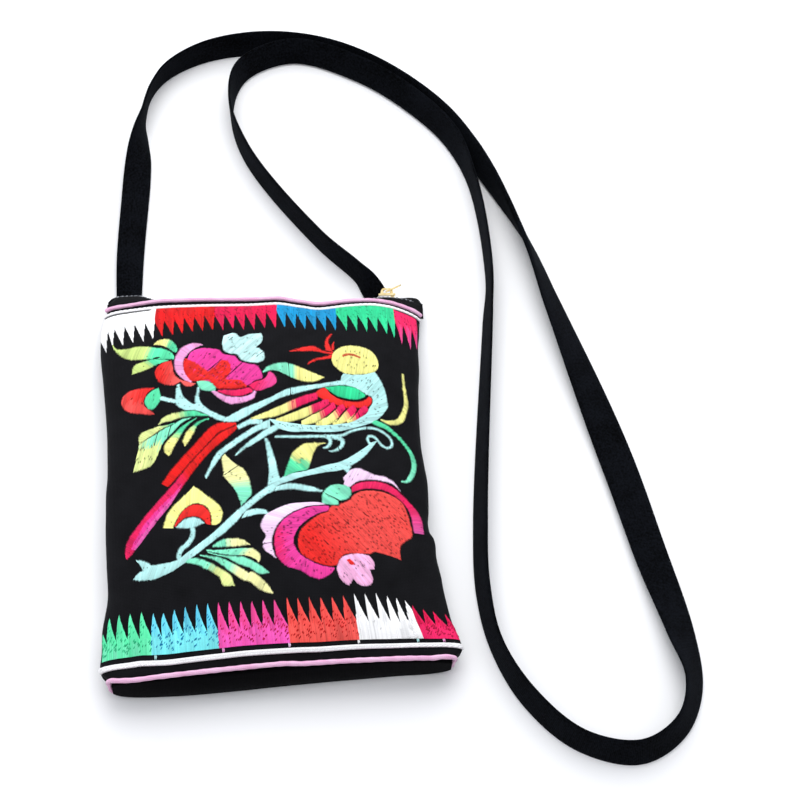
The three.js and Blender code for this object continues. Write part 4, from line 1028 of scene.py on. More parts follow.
# Leaves: yellow-green at the tip, mint at the stalk
leaves = [
    ("satin", (0, -58.5, "pear", -55, "mint"),
     [(-74, 69.6), (-72.4, 66.8), (-70, 65.4), (-66, 65), (-62, 65.4), (-55, 64), (-48.8, 61.8),
      (-45.6, 59.6), (-44.2, 57.2)],
     [(-74, 68.6), (-72.6, 64), (-69.2, 59.6), (-66.4, 57.8), (-63.2, 56.8), (-58, 56.3), (-53, 55.6),
      (-48, 55), (-44.6, 54.8)]),
    ("satin", (0, -58, "pear", -55, "mint"),
     [(-65.8, 49.4), (-65.4, 52), (-64.2, 54), (-61.6, 55), (-55.6, 56), (-50, 55.2)],
     [(-64.6, 49.2), (-63.2, 49.4), (-60, 49.8), (-56, 51.2), (-52, 52.8), (-47, 54.2)]),
    ("satin", (0, -47.5, "yellow", -45.5, "mint"),
     [(-53.8, 65.2), (-52.8, 66.6), (-51.2, 67.8), (-48.8, 68.3), (-46, 67.8), (-44, 65.8), (-42.4, 62.8),
      (-42.2, 60.4)],
     [(-53.6, 65), (-52, 64.6), (-49.6, 63.8), (-47.2, 62.2), (-45.2, 60.2), (-43.4, 58.8)]),
    ("satin", (-30, -10.5, "seafoam", -7.5, "yellow"),
     [(-0.6, 45.2), (1, 47.2), (3, 48.6), (6.2, 49.5), (9.8, 49.8), (13, 49.2), (17, 47.4), (21, 45.2),
      (25, 43.4), (29.8, 41)],
     [(-0.2, 44.2), (3.8, 45.4), (7, 44.8), (9.8, 43.2), (13, 41.2), (16.2, 39.6), (20, 38.5), (24, 38.2),
      (27.6, 39.2), (29.8, 40.6)]),
    ("satin", (0, -43, "lime", -39, "mint"),
     [(-53.1, 19.4), (-52.3, 21.3), (-50.1, 23.3), (-46.2, 24.6), (-41, 25.2), (-36, 25.4), (-32, 24),
      (-28.5, 22)],
     [(-53, 19.1), (-50.5, 19.8), (-46.2, 20.5), (-41.9, 21.5), (-36, 21.8), (-28.5, 21.8)]),
    ("fill", (80, -2.5, "lime", 0.5, "seafoam"), 75,
     [(-62.4, 10.4), (-63.1, 6.8), (-64, 3.3), (-65.5, -4), (-60.9, -3.4), (-57.9, -2.7), (-55.3, -0.6),
      (-53.1, 3.8), (-51.4, 8.1), (-48.8, 11.6), (-45.3, 15), (-42.3, 18.1), (-36.7, 21.3), (-41, 21.1),
      (-45.3, 18.9), (-50, 17), (-56, 13.6)], 0, 6),
    ("satin", (0, -52, "lime", -47, "mint"),
     [(-62.6, 10.2), (-63.3, 12.9), (-62.7, 15), (-60.5, 16.8), (-56.6, 17.6), (-53.1, 18.5), (-49, 18.6),
      (-45.4, 19.2)],
     [(-62.2, 10.6), (-59.6, 12), (-56, 13.8), (-53, 15.6), (-50, 17.2), (-45.3, 19)]),
    ("satin", (90, 10.5, "yellow", 14, "mint"),
     [(-48.2, 2.3), (-50.1, 4.2), (-50.5, 6.4), (-49.7, 9), (-47.5, 11.6), (-44, 15), (-40.1, 18.1),
      (-34.1, 21.1)],
     [(-47.6, 2.4), (-46.6, 3.3), (-44.5, 7.7), (-42.7, 10.7), (-41, 13.7), (-38.4, 17.2), (-34.2, 20.8)]),
    ("satin", (0, -37, "yellow", -34, "mint"),
     [(-40.1, 6.6), (-41.2, 9), (-40.6, 11.6), (-38.8, 14.6), (-36.2, 17.2), (-32.8, 19.4), (-28.4, 20.7)],
     [(-39.8, 6.6), (-39, 7.2), (-37.5, 9.4), (-35.4, 12.9), (-34.1, 15.9), (-31.5, 18.5), (-28, 19.8)]),
    ("satin", (90, -17, "seafoam", -12, "cream"),
     [(-20.2, 1), (-17.2, -2.3), (-14.2, -4.9), (-11.1, -7), (-9.4, -10.1), (-8.3, -13.1), (-7.7, -16.6),
      (-7.7, -20), (-10.7, -23.5), (-12.7, -25.2)],
     [(-20.6, 0.8), (-22.2, -1), (-21.8, -4.5), (-21.3, -7.9), (-21.1, -10.5), (-19.4, -12.7), (-16.8, -16.1),
      (-15, -19.2), (-13.7, -22.6), (-12.9, -25.2)]),
    ("satin", (90, -5.5, "mint", -1.5, "yellow"),
     [(7.9, -11.8), (9.2, -7.9), (10.9, -3.2), (12.7, 0.7), (15.7, 3.3), (19.2, 5.1), (24.3, 5.5),
      (29.3, 5.1)],
     [(9, -11.2), (16.1, -9.2), (19.8, -8.6), (20.9, -6.6), (22, -3.6), (23, -0.6), (24.8, 2.5), (26.9, 4.2),
      (29.3, 5)]),
    ("satin", (0, -23, "seafoam", -19, "cream"),
     [(-28.4, -44), (-26.8, -42.8), (-24, -41.4), (-21, -40.8), (-17, -41), (-13.8, -42), (-11, -44.4)],
     [(-28.4, -45), (-21, -45.2), (-17, -45.2), (-13, -45), (-11, -44.6)]),
    ("satin", (0, -15.5, "seafoam", -11.5, "cream"),
     [(-31.6, -45.6), (-26, -46.2), (-17, -46), (-10.2, -46.2), (-7.8, -47.6), (-6.4, -49.6), (-6.6, -52),
      (-7.6, -53)],
     [(-31.4, -46.6), (-26, -48.2), (-19, -49.3), (-15, -49.4), (-11.4, -50.2), (-9, -51.6), (-7.8, -52.9)]),
    ("satin", "seafoam",
     [(-31, -47), (-26, -48.6), (-15, -49.9), (-11.8, -51.2), (-9, -52.8), (-6.6, -54.4), (-4.6, -56),
      (-3, -57.8)],
     [(-30.8, -47.4), (-26, -49.2), (-22.6, -50.2), (-19.8, -52), (-15.8, -54.2), (-11.8, -55.8),
      (-7.8, -58.6), (-3.4, -58.2)]),
    ("satin", (0, -21, "seafoam", -17, "cream"),
     [(-34.8, -48), (-28, -49.2), (-25, -50), (-21, -52), (-17, -54.4), (-12.6, -57.4), (-11, -57),
      (-8.2, -58.8), (-5.8, -61.2), (-3.4, -64), (-1.6, -66.8)],
     [(-34.6, -48.6), (-32, -49.6), (-28, -51.6), (-24.5, -54.2), (-21.4, -56.8), (-16.2, -60.8),
      (-12.2, -62.2), (-8.2, -65.6), (-5, -67.2), (-1.8, -67.8)]),
    ("satin", (0, -32, "seafoam", -28, "lime"),
     [(-40, -49.6), (-36.4, -49.4), (-32, -51), (-28, -53.4), (-24, -56), (-21, -58.4), (-19.8, -61.6),
      (-19.2, -63.4)],
     [(-42, -51.4), (-39.6, -52), (-36, -53.2), (-32.4, -55.2), (-29.2, -57.2), (-26.4, -59.6),
      (-24.8, -63.2), (-20, -63.4)]),
    # calyces
    ("fill", "seafoam", 30, [(-33.6, 40.8), (-30.4, 41.4), (-27.6, 40.8), (-25.2, 39.2), (-23.8, 36.8),
      (-25.2, 35), (-28.4, 35.2), (-31.6, 36.2), (-33, 38)]),
    ("fill", "mint", 70, [(-52.6, 39.6), (-54.8, 38.8), (-57.2, 37.4), (-59, 35.2), (-59.9, 32.4),
      (-59.2, 30), (-57.8, 28.2), (-55.8, 27.6), (-54, 29.2), (-52.4, 31.6), (-51.6, 34), (-52, 37.2)]),
    ("fill", "seafoam", -40, [(26.1, -23.1), (26.9, -20.1), (29.1, -17.5), (32.6, -16.2), (36, -16.2),
      (38.6, -17), (40.6, -18.8), (40.8, -21.4), (39.1, -23.5), (37.3, -24.2), (34.7, -24.8), (34.3, -26.6),
      (31.7, -26.8), (28.2, -26.1), (26.3, -25.5)]),
    # trailing stem at the right
    ("line", (90, -10, "seafoam", 6, "mint"), [(53.8, 17, 3), (56.8, 15.7, 3), (60.3, 14.2, 2.6),
      (63.3, 11.8, 2.3), (66.8, 9, 2.2), (69.8, 5.5, 2.2), (72, 2.5, 2.5), (73.1, -1, 3), (73.1, -4.5, 3),
      (72, -8.4, 2.9), (70.3, -11.4, 2.6), (68.5, -13.3, 2), (65.9, -13.6, 1)]),
]

# Branches, twigs and the perch
branches = [
    ("satin", "aqua",
     [(-65, -47.6), (-62.4, -48), (-59.6, -49.4), (-57.6, -50.9), (-54, -50.8), (-46, -49.8), (-40, -46.2),
      (-32, -40.8), (-24, -34.8), (-15, -27.4), (-5.1, -19.6), (0.1, -15.9)],
     [(-64.6, -48.6), (-62.8, -51.6), (-61.6, -54.6), (-60, -57.6), (-57.6, -58), (-50, -55.6), (-43.2, -52),
      (-36, -47.6), (-28, -42), (-20.2, -36.9), (-10.3, -28), (-0.8, -20.9), (3.1, -18.9)]),
    ("fill", "aqua", 80, [(-67.2, -56.4), (-64.4, -53.6), (-60, -52.6), (-58, -55), (-58.6, -58.1),
      (-64.8, -57.6)]),
    ("satin", "aqua",
     [(0.1, -15.9), (7, -12), (12.2, -10.2), (18.3, -9.1), (28.7, -6.4), (36.5, -4.5), (44.3, -0.1),
      (49.9, 3.8), (51.2, 5.1)],
     [(3.1, -18.9), (6.2, -15.7), (11.8, -14), (18.3, -12), (28.7, -10.1), (36.5, -9), (42.5, -6.2),
      (49.5, -0.6), (55.1, 6.8)]),
    ("fill", "aqua", 20, [(36, -7), (38.2, -9.7), (39.5, -11), (41.4, -7.4), (39, -5)]),
    ("satin", "aqua", [(4, -16.4), (9.6, -15.1), (14, -15.3), (19.5, -16.3), (23.5, -17.7), (26.7, -19)],
     [(3.1, -18.9), (7.9, -18.5), (14, -18.7), (19.6, -19.6), (26.1, -20.3)]),
    ("satin", "aqua", [(-1, 8.1), (-0.3, 3.3), (0.3, -1.8), (0.8, -7.5), (0.5, -11.8), (0.1, -15.7)],
     [(0.8, 8.5), (2.3, 4.7), (4, -1), (5.1, -6.2), (6, -10.9), (7, -13)]),
    ("satin", "aqua", [(-10.5, -28), (-7.7, -27.4), (-4.7, -27.2), (-1.6, -27.8), (-0.1, -29.1)],
     [(-13.3, -31.7), (-9.8, -30.8), (-5.5, -30.2), (-1.2, -30)]),
    ("line", "aqua", [(-51.8, 33.6, 2.6), (-48.4, 32.2, 2.5), (-44.6, 30.9, 2.4)]),
    ("satin", "aqua", [(-43.6, 39.6), (-44.2, 36), (-44.6, 32), (-44.6, 29.4), (-42, 26.8), (-39.8, 25.6)],
     [(-41.8, 40.2), (-41.2, 36.8), (-40.4, 33.6), (-38.4, 31.2), (-35.2, 28.4)]),
    ("line", "aqua", [(-32.8, 37.4, 1.5), (-33, 35.4, 1.7), (-33.5, 32.8, 2.3), (-33.4, 30, 3),
      (-32.6, 27.6, 3.6)]),
    ("satin", "aqua", [(-35.2, 28.4), (-32, 28.8), (-30.4, 27.6), (-27.2, 24.8), (-23.2, 22.4),
      (-19.5, 20.4)],
     [(-39.8, 25.6), (-35.6, 25.2), (-32, 24), (-26.7, 20.7), (-23.7, 18.9), (-20.5, 18)]),
    ("line", "aqua", [(4.5, 9, 1.6), (15, 8.7, 1.8), (25, 8.7, 1.8), (34, 8.7, 1.8), (38, 9.2, 1.8),
      (41.5, 11, 1.7), (46, 12.6, 1.7), (51, 13.5, 1.7), (55.5, 13, 1.7), (59.5, 10.8, 1.7), (62.2, 8, 1.7),
      (62.3, 5, 1.7), (60, 3.5, 1.6), (57.5, 4.5, 1.6), (55.5, 7, 1.6), (53.5, 9, 1.7), (51, 9.3, 1.6),
      (50.2, 7.2, 1.6), (51.2, 5.2, 1.6)]),
    ("line", "aqua", [(28.7, 9, 2), (30.8, 8.1, 2.4), (31.7, 6.4, 2.2), (31.3, 4.2, 2), (29.5, 2.7, 1.6),
      (28, 2.7, 0.9)]),
    ("line", "aqua", [(32, 8.6, 2), (35, 7.7, 2.4), (37.3, 7, 2.4), (37.8, 5.5, 2.4), (36.9, 3.3, 2.2),
      (34.7, 1.6, 1.9), (32.1, 0.7, 1.4), (30.8, 1, 0.8)]),
    ("line", "aqua", [(-37.2, -34.8, 2.6), (-37.2, -37.6, 2.6), (-38.4, -40.4, 2.6), (-40.4, -42.8, 2.6),
      (-43.2, -44.8, 2.6), (-44.6, -47.2, 2.6), (-44.8, -49.6, 2.6)]),
]

# Peonies, buds and butterflies
flowers = [
    # top peony
    ("satin", "pink",
     [(-29.6, 62.8), (-32, 63.8), (-34.8, 64), (-37.6, 63.2), (-40.4, 61.4), (-42.4, 58.8), (-43.8, 55.6),
      (-44.4, 52), (-44.2, 48.4), (-41.2, 43.6), (-36.8, 40.4)],
     [(-29.8, 62.2), (-32, 61.2), (-34.2, 59.8), (-36.6, 57.6), (-38.6, 55.2), (-39.6, 52.4), (-39.5, 49.2),
      (-38.8, 46), (-35.6, 41.2)]),
    ("fill", (180, 43, "coral", 50, "red"), 65, [(-45.6, 54.4), (-49.2, 53.8), (-52, 52), (-53.8, 49.6),
      (-54.2, 46.8), (-53.4, 44), (-51.6, 41.8), (-48.4, 40.4), (-45.6, 39.8), (-43.2, 40.6), (-41.6, 41.4),
      (-39.6, 38.8), (-37.6, 38.2), (-35.2, 38.8), (-34, 40), (-40, 42.2), (-42.8, 44), (-44.6, 46.8),
      (-45, 50.4)]),
    ("fill", "magenta", 48, [(-37.6, 54.4), (-36.4, 57.2), (-34, 59.2), (-31.2, 60.3), (-28, 60.4),
      (-21.4, 58.8), (-19.8, 56.4), (-14.2, 54.6), (-11.4, 51.2), (-5, 49.4), (-2.6, 48), (-0.6, 43.2),
      (-1.4, 40.8), (-5, 39.6), (-7.8, 37.6), (-13, 36.4), (-20, 36.6), (-25, 39.6), (-33, 42), (-38, 46),
      (-38.8, 51)]),
    ("fill", "red", 42, [(-39.6, 52.4), (-38.6, 54.4), (-35, 53), (-31.6, 50.6), (-28.4, 47.6), (-27, 46.4),
      (-24, 48.8), (-21.4, 51.8), (-19, 52.4), (-16.6, 50.4), (-16, 46), (-18.2, 42.8), (-18.6, 41.2),
      (-11.6, 40.6), (-9.4, 38.6), (-9, 36.6), (-14, 36), (-20, 36.2), (-23.4, 36.6), (-25.2, 39),
      (-28, 41.2), (-35.8, 41.4), (-38.4, 44.6), (-39.6, 48.6)], 0.3, 4),
    ("fill", (0, -4, "crimson", 2, "rose"), 60, [(-7.8, 37.2), (-4.2, 39.6), (-1, 40.4), (1, 42), (2.2, 44.4),
      (3.2, 45.2), (4.6, 44), (6, 41.6), (6.2, 39.2), (4.6, 36.8), (1.4, 35.2), (-2.6, 34), (-5.8, 34.8)]),
    ("satin", "crimson", [(-23, 35.6), (-18, 35.6), (-13, 35.6), (-7.8, 36.4), (-6, 35)],
     [(-23, 34.4), (-19, 32.4), (-15, 31.6), (-11, 31.8), (-6.4, 33.4)]),
    ("satin", "pink", [(-26.8, 34.8), (-25, 32.8), (-22.6, 30.4), (-19.8, 28.4), (-16.6, 27.3), (-13.4, 27.4),
      (-9, 28.2), (-5.4, 30), (-4, 33.6)],
     [(-24.6, 35.2), (-21.8, 33.6), (-18.6, 32), (-13.8, 31.4), (-9, 31.8), (-6.6, 32.8), (-5.6, 34.4)]),
    # bud at the left
    ("fill", (60, -12, "coral", 2, "red"), 75, [(-55, 25.2), (-57.6, 25), (-60.8, 25.8), (-64.8, 27),
      (-68.4, 28.6), (-70.6, 31.2), (-71.6, 34.4), (-71, 37.2), (-68.8, 39.4), (-65.2, 40.4), (-60.8, 40.6),
      (-54.4, 39.8), (-57.6, 37.6), (-59.4, 35.2), (-60.2, 32.4), (-59.4, 29.8), (-56.4, 27)]),
    # aqua butterfly
    ("fill", "frost", 45, [(-19, 67.2), (-17, 68.4), (-14.6, 69.2), (-12.6, 68.6), (-11.4, 66.8),
      (-10.2, 66.2), (-8.6, 67.2), (-5.8, 68.2), (-0.4, 68.8), (0.2, 66.4), (0, 64), (-1, 61.6), (-3.2, 59.4),
      (-1.4, 58.4), (0.2, 56.4), (0.6, 54), (0.2, 51.6), (-2.6, 50.2), (-5.8, 50.4), (-8.6, 51), (-11, 52.2),
      (-13.4, 55.6), (-16.2, 56), (-18.6, 57.4), (-19.8, 59.6), (-19.9, 62.8)], 0.1, 6),
    # mushroom-shaped bud
    ("satin", "butter", [(-51.4, -33.6), (-50.1, -30), (-48.4, -26.6), (-45.3, -23.1), (-38.4, -17),
      (-35.8, -14.2), (-33.2, -15.9), (-29.7, -18.8), (-25.8, -22.2), (-23.2, -24.8), (-21.9, -28),
      (-23.2, -32.6), (-25.4, -34.1)],
     [(-46.2, -34.3), (-45.8, -33.1), (-44, -30), (-41.9, -27), (-38.8, -24.4), (-35.4, -23.1),
      (-31.9, -23.7), (-29.3, -25.7), (-28, -28.3), (-27.8, -31.3), (-28.2, -33.9)]),
    ("satin", "red", [(-45.8, -33.3), (-44, -30.2), (-41.9, -27.2), (-38.8, -24.6), (-35.4, -23.3),
      (-31.9, -23.9), (-29.3, -25.9), (-28, -28.3), (-28.2, -33.9)],
     [(-45.1, -33.7), (-43.2, -31.8), (-40.6, -30), (-37.5, -29.4), (-34.1, -29.8), (-31.9, -31.3),
      (-30.6, -33.3)]),
    ("fill", "aqua", 70, [(-45.3, -34.4), (-42.7, -31.8), (-40.1, -30.2), (-36.7, -29.6), (-34.1, -30.1),
      (-32.3, -31.5), (-31.3, -33.1), (-36.2, -34.8), (-41, -35)]),
    # large peony
    ("satin", "palePink",
     [(26, -25.3), (21, -25), (15, -25), (11, -25.4), (7, -26.4), (3, -28), (-1.8, -30.2), (-4.6, -34),
      (-5.1, -36.8), (-3.4, -40.6), (-5.1, -44), (-4.8, -46.6), (-3.4, -48.6), (0.6, -51.4)],
     [(28, -26.4), (20, -26.8), (15, -28.2), (11, -29.8), (7, -32.2), (3.8, -35), (1.4, -38.2), (0, -41.4),
      (-0.4, -44.8), (-0.1, -48), (0.8, -51.2)]),
    ("satin", (0, 1, "crimson", 8, "magenta"),
     [(28, -26.8), (20, -27.2), (15, -28.6), (11, -30.2), (7, -32.6), (3.8, -35.4), (1.6, -38.6),
      (0.6, -41.6), (0.4, -44.8), (0.6, -48), (1.4, -51.4), (5.4, -55.6), (11, -57.6), (15.8, -60.6),
      (18.6, -61.8), (21.4, -62), (26, -59.6), (27.8, -57.6)],
     [(29.5, -27.4), (28.7, -29.2), (24.3, -30.3), (19.5, -32.5), (15, -35.4), (12.2, -38), (10.2, -41.6),
      (9.8, -44.8), (11, -48), (13.4, -50.8), (17, -53.2), (20.5, -55), (24, -56), (27.6, -56.6)], 0, 4.5),
    ("fill", (20, 4, "red", 26, "poppy"), -50,
     [(11.6, -45.6), (11.8, -42.4), (13, -39.2), (15, -36.8), (19.5, -33.4), (24, -30.8), (28, -29.6),
      (30.4, -27), (33.6, -27), (35.2, -25.8), (38, -24.8), (40, -23.6), (41.5, -21.5), (44.3, -19.8),
      (47.7, -19.2), (52.1, -19.2), (56, -19.6), (59.9, -20.9), (63.3, -22.7), (65.5, -24.8), (67, -27.9),
      (67.4, -33), (67.2, -39.2), (66.4, -42), (61.2, -46), (60, -49.6), (60.2, -53.6), (55.2, -51.6),
      (48, -50), (45.2, -50.8), (39.2, -50.6), (34, -50.8), (31.2, -52.8), (29.2, -55.6), (26, -56.2),
      (20, -54.5), (15, -51.6), (12.6, -49.2)], 0, 3.6),
    ("satin", (90, -40, "blush", -27, "crimson"),
     [(41.2, -17), (43.8, -15.5), (47.7, -14.6), (52.1, -14.4), (56.8, -14.9), (60.7, -16.4), (63.8, -18.3),
      (66.6, -20.8), (70.6, -24.6), (73.9, -28.6), (75, -32.6), (74.3, -36.5), (73.2, -39.1)],
     [(41.2, -20.3), (44.3, -19.2), (47.7, -18.5), (52.1, -18.5), (56.8, -19), (60.7, -20.7), (64.2, -23.1),
      (66.8, -25.7), (68.1, -28.7), (68.5, -32.2), (68.1, -35.7), (67.7, -39.1)]),
    ("fill", "palePink", 60, [(37.3, -16.6), (37.5, -14.9), (37.1, -13.1), (38.6, -11.4), (39.9, -9.7),
      (41.7, -8.4), (44.3, -7.7), (46.9, -8.4), (52.9, -11), (56.8, -11.4), (59.9, -12.7), (62.5, -14.4),
      (65.1, -18.8), (61.6, -15.9), (58.1, -14.6), (52.1, -14), (47.7, -14.2), (43.8, -15.1), (41.2, -16.8),
      (39.5, -17.9)]),
    # pink butterfly
    ("fill", "orchid", -55, [(29, -57.2), (29.6, -55.2), (31.2, -52.8), (33.6, -51.4), (36.8, -50.7),
      (40, -50.6), (43.2, -51), (45.2, -52), (46.6, -54), (46.9, -56), (46.6, -57.8), (44.4, -58), (45, -60),
      (45.5, -62.4), (44.6, -64.6), (42.4, -65.6), (40, -65.4), (37.6, -64), (36.2, -62.2), (34, -65.2),
      (32, -64.2), (30.2, -62.2), (29.4, -60)], 0.2, 6),
    ("fill", "red", 20, [(33.6, -53.6), (35.6, -53), (37.6, -54.8), (37.6, -55.8), (35.2, -55.8),
      (33.8, -54.8)], 0.55),
]

# Bird with its long tail
bird = [
    ("satin", "aqua", [(-19.5, 20.4), (-15, 22.8), (-10, 25.2), (-5, 27.4), (0, 29.4), (5, 31.6), (9, 33.8),
      (12.2, 35.2), (20.2, 36.6), (30, 37.6), (37.8, 38.4)],
     [(-20.5, 18), (-15, 17.6), (-9, 20.4), (-5, 23.2), (0, 25.8), (5, 28.4), (10, 30.4), (15, 31.6),
      (20, 33), (24, 34), (30.4, 35.2), (37.6, 36.6)]),
    ("satin", "scarlet", [(-15, 17.6), (-22.4, 17.9), (-25.4, 16.8), (-28.9, 14.2), (-38, 4.6), (-47.1, -5.3),
      (-51.4, -11.6)],
     [(-14.6, 16), (-22.4, 12.9), (-25.8, 9.8), (-34.5, 0.7), (-43.2, -8.8), (-47.9, -13.8)]),
    ("satin", (225, 32, "scarlet", 39, "crimson"), [(-14.6, 15.9), (-22, 12.9), (-30, 5.4), (-38.8, -4),
      (-47.5, -14.2), (-56.2, -23.4), (-64.8, -32.6), (-67.9, -36.2), (-69.4, -39.2), (-70.2, -42.4),
      (-70, -45.2)],
     [(-14.6, 13.5), (-20.1, 8.6), (-28, 2), (-36.7, -8.4), (-45.3, -20.1), (-54, -29.2), (-62, -38.8),
      (-66, -44), (-69.2, -46.6)]),
    ("line", "magenta", [(-41.6, -13, 0.6), (-45, -17.6, 1.8), (-49.4, -22.4, 3.4), (-54.4, -27.4, 3.8),
      (-59.4, -32.8, 4), (-63.4, -37.8, 3.4), (-66.6, -42, 1.8)], 0.2),
    ("line", "blush", [(-42.6, -15.6, 0.4), (-45.6, -19.6, 1), (-48.8, -23.2, 1.8), (-53.8, -28.4, 2),
      (-58.4, -33.6, 2), (-62.2, -38.2, 1.6), (-65.4, -42.4, 0.8)], 0.4),
    ("satin", "aqua", [(-14.2, 15.9), (-10.7, 17.6), (-6.8, 19.4), (-1.6, 18.5)],
     [(-13.3, 13.5), (-10.3, 14.8), (-7.2, 15.9), (-2, 15.4)]),
    ("satin", "aqua", [(1.8, 18.5), (-2, 16.6), (-6.4, 14.6), (-10.7, 12), (-15, 9), (-20.1, 5.4),
      (-23.2, 3.3), (-25.8, 0.3), (-28, -4.5), (-30.2, -9.2), (-29.8, -10.8)],
     [(2, 13.6), (-3.4, 12.4), (-7.7, 10.1), (-12, 7.3), (-16.3, 4.2), (-20.2, 1.6), (-23.7, -2.3),
      (-26.3, -6.2), (-28.4, -9.7), (-29.4, -11)]),
    ("satin", "aqua", [(6, 16.4), (1.4, 14.2), (-1.6, 12.4), (-4.2, 10.3), (-7.7, 8.1), (-11.6, 4.7),
      (-14.6, 1.6), (-15.4, 0.2)],
     [(7, 13.1), (4.4, 11.6), (1, 9.8), (-2.1, 7.9), (-6.4, 5.3), (-10.7, 2.9), (-14.6, -0.1)]),
    # breast and belly
    ("satin", "aqua",
     [(40, 43.2), (48.8, 42.6), (55.6, 44.8), (58.6, 39.6), (60, 36), (61, 32.4), (61.6, 28), (61.6, 25.2),
      (58.1, 20.2), (52.9, 16.3), (44.3, 13.3), (36.5, 11.1), (28.7, 10.9), (20, 11.3), (14, 11.1), (9.6, 12),
      (7, 13.1)],
     [(38.4, 40.8), (37.8, 38.4), (41.6, 36), (45.6, 35), (50.2, 31.6), (53.2, 30), (53.6, 26.8), (52, 24),
      (50.4, 21), (47.7, 19.1), (41.2, 15.7), (33, 14.6), (25, 14.6), (20, 14.8), (12.2, 16.1), (5.3, 18.1),
      (1.8, 18.5)], 0, 6),
    ("line", "aqua", [(29, 36, 2.2), (34, 37, 2.4), (38.6, 37.8, 3), (43, 37.6, 3.4), (48, 35.4, 3.6),
      (52, 32, 3)]),
    # head, crest and beak
    ("fill", "yellow", 80, [(35.2, 55.2), (37.2, 57.2), (40, 58.8), (44.5, 59.6), (49, 59), (52, 57.8),
      (54.8, 55.8), (56.4, 53.2), (57.3, 50), (57, 46.8), (55.6, 44.8), (52, 43.4), (44.8, 42.2),
      (41.2, 42.8), (38.8, 44), (36.4, 46), (34.8, 48), (34, 50.4), (34.2, 52.8)], 0.15, 6),
    ("line", "rust", [(39.6, 52.8, 1.1), (41, 53.6, 1.4), (43.4, 53.8, 1.4), (45.8, 53.2, 1.4),
      (48, 52, 1.1)], 0.75),
    ("satin", "red", [(13.2, 56.4), (17, 57.8), (20.2, 59), (25, 59.4), (28, 57.6), (31.2, 56), (35, 55.4)],
     [(14, 55.9), (19, 56), (25, 56), (30, 54.6), (34, 53.6)]),
    ("satin", "red", [(21.8, 48.4), (22.4, 49.6), (24.8, 51.2), (28, 52.4), (32, 53.4), (34.2, 54)],
     [(22, 48.2), (24, 49), (27.2, 50.4), (30.4, 51), (34, 51.4)]),
    ("satin", "red", [(34, 67.2), (32.4, 65.6), (31.2, 62.8), (30.7, 59.6), (31, 56.8)],
     [(35, 66.8), (33.8, 64.8), (33, 62.8), (33, 60.8), (33.8, 58.4), (34.8, 55.6)]),
    ("line", "red", [(35.6, 61.8, 0.7), (34.9, 59.8, 1.3), (34.8, 57, 1.7)]),
    # wing
    ("satin", "green", [(30.4, 35), (34, 35.6), (37.6, 36.2), (41.6, 35.8), (45.6, 34.8), (48.4, 33),
      (50.2, 31.4)],
     [(31, 34.4), (32.8, 32.8), (35.6, 30.6), (38.8, 29.2), (42.4, 28.4), (46, 28.4), (49.8, 30.2)], 0.1),
    ("satin", "red", [(25.4, 32.4), (28, 34.4), (30.2, 34.6), (32.4, 32), (35.2, 29.8), (38.4, 28.2),
      (42.4, 27.4), (46.4, 27.4), (50, 28.4), (52, 30.4), (53.4, 29.6)],
     [(26, 30.4), (28, 29.2), (32.4, 26.8), (38.4, 24.4), (41.6, 23.6), (44.8, 24), (49.6, 24), (51.6, 25),
      (53, 26.8)], 0.1),
    ("line", (0, 10.5, "yellow", 15, "crimson"), [(26, 30.5, 3.6), (20, 28.5, 4.5), (13, 25.5, 4.6),
      (4, 21.8, 4.2), (-7, 18.8, 1.4)], 0.1),
    ("line", (0, 21, "yellow", 24.5, "crimson"), [(31.5, 27.5, 3.2), (25, 24, 4.4), (18, 20.8, 4.6),
      (10, 18.3, 3.6), (5.5, 18, 1.4)], 0.15),
    ("line", (0, 26, "yellow", 29, "crimson"), [(34.5, 25.5, 3.2), (30, 21.8, 4), (24, 18, 4.2), (18, 16, 2)],
     0.2),
    ("line", (0, 33.5, "yellow", 36.5, "crimson"), [(39, 24.8, 3.4), (35.5, 20.8, 4), (31, 17, 4),
      (25, 14.8, 1.8)], 0.2),
    ("line", (90, 17.8, "yellow", 21, "crimson"), [(44.5, 24.5, 3.6), (41.5, 20.5, 4), (38, 17.4, 3.6),
      (33.5, 15, 1.6)], 0.2),
    ("line", (0, 42, "yellow", 45, "crimson"), [(50.5, 24.5, 3.4), (47.5, 21, 3.6), (44, 18.6, 3.2),
      (40.5, 16.5, 1.4)], 0.2),
    # curved tail feather at the right
    ("line", "yellow", [(70, 45.2, 1.6), (70.2, 41.6, 1.8), (70.6, 36.8, 2.2), (71.2, 32, 2.4),
      (71.4, 28.4, 3), (70.6, 25.2, 3), (69.5, 22, 3.4), (68.1, 19.4, 3.6), (65.9, 17.6, 3.2), (63.3, 17, 3),
      (60.3, 17.2, 2), (57.5, 18.3, 1)]),
]
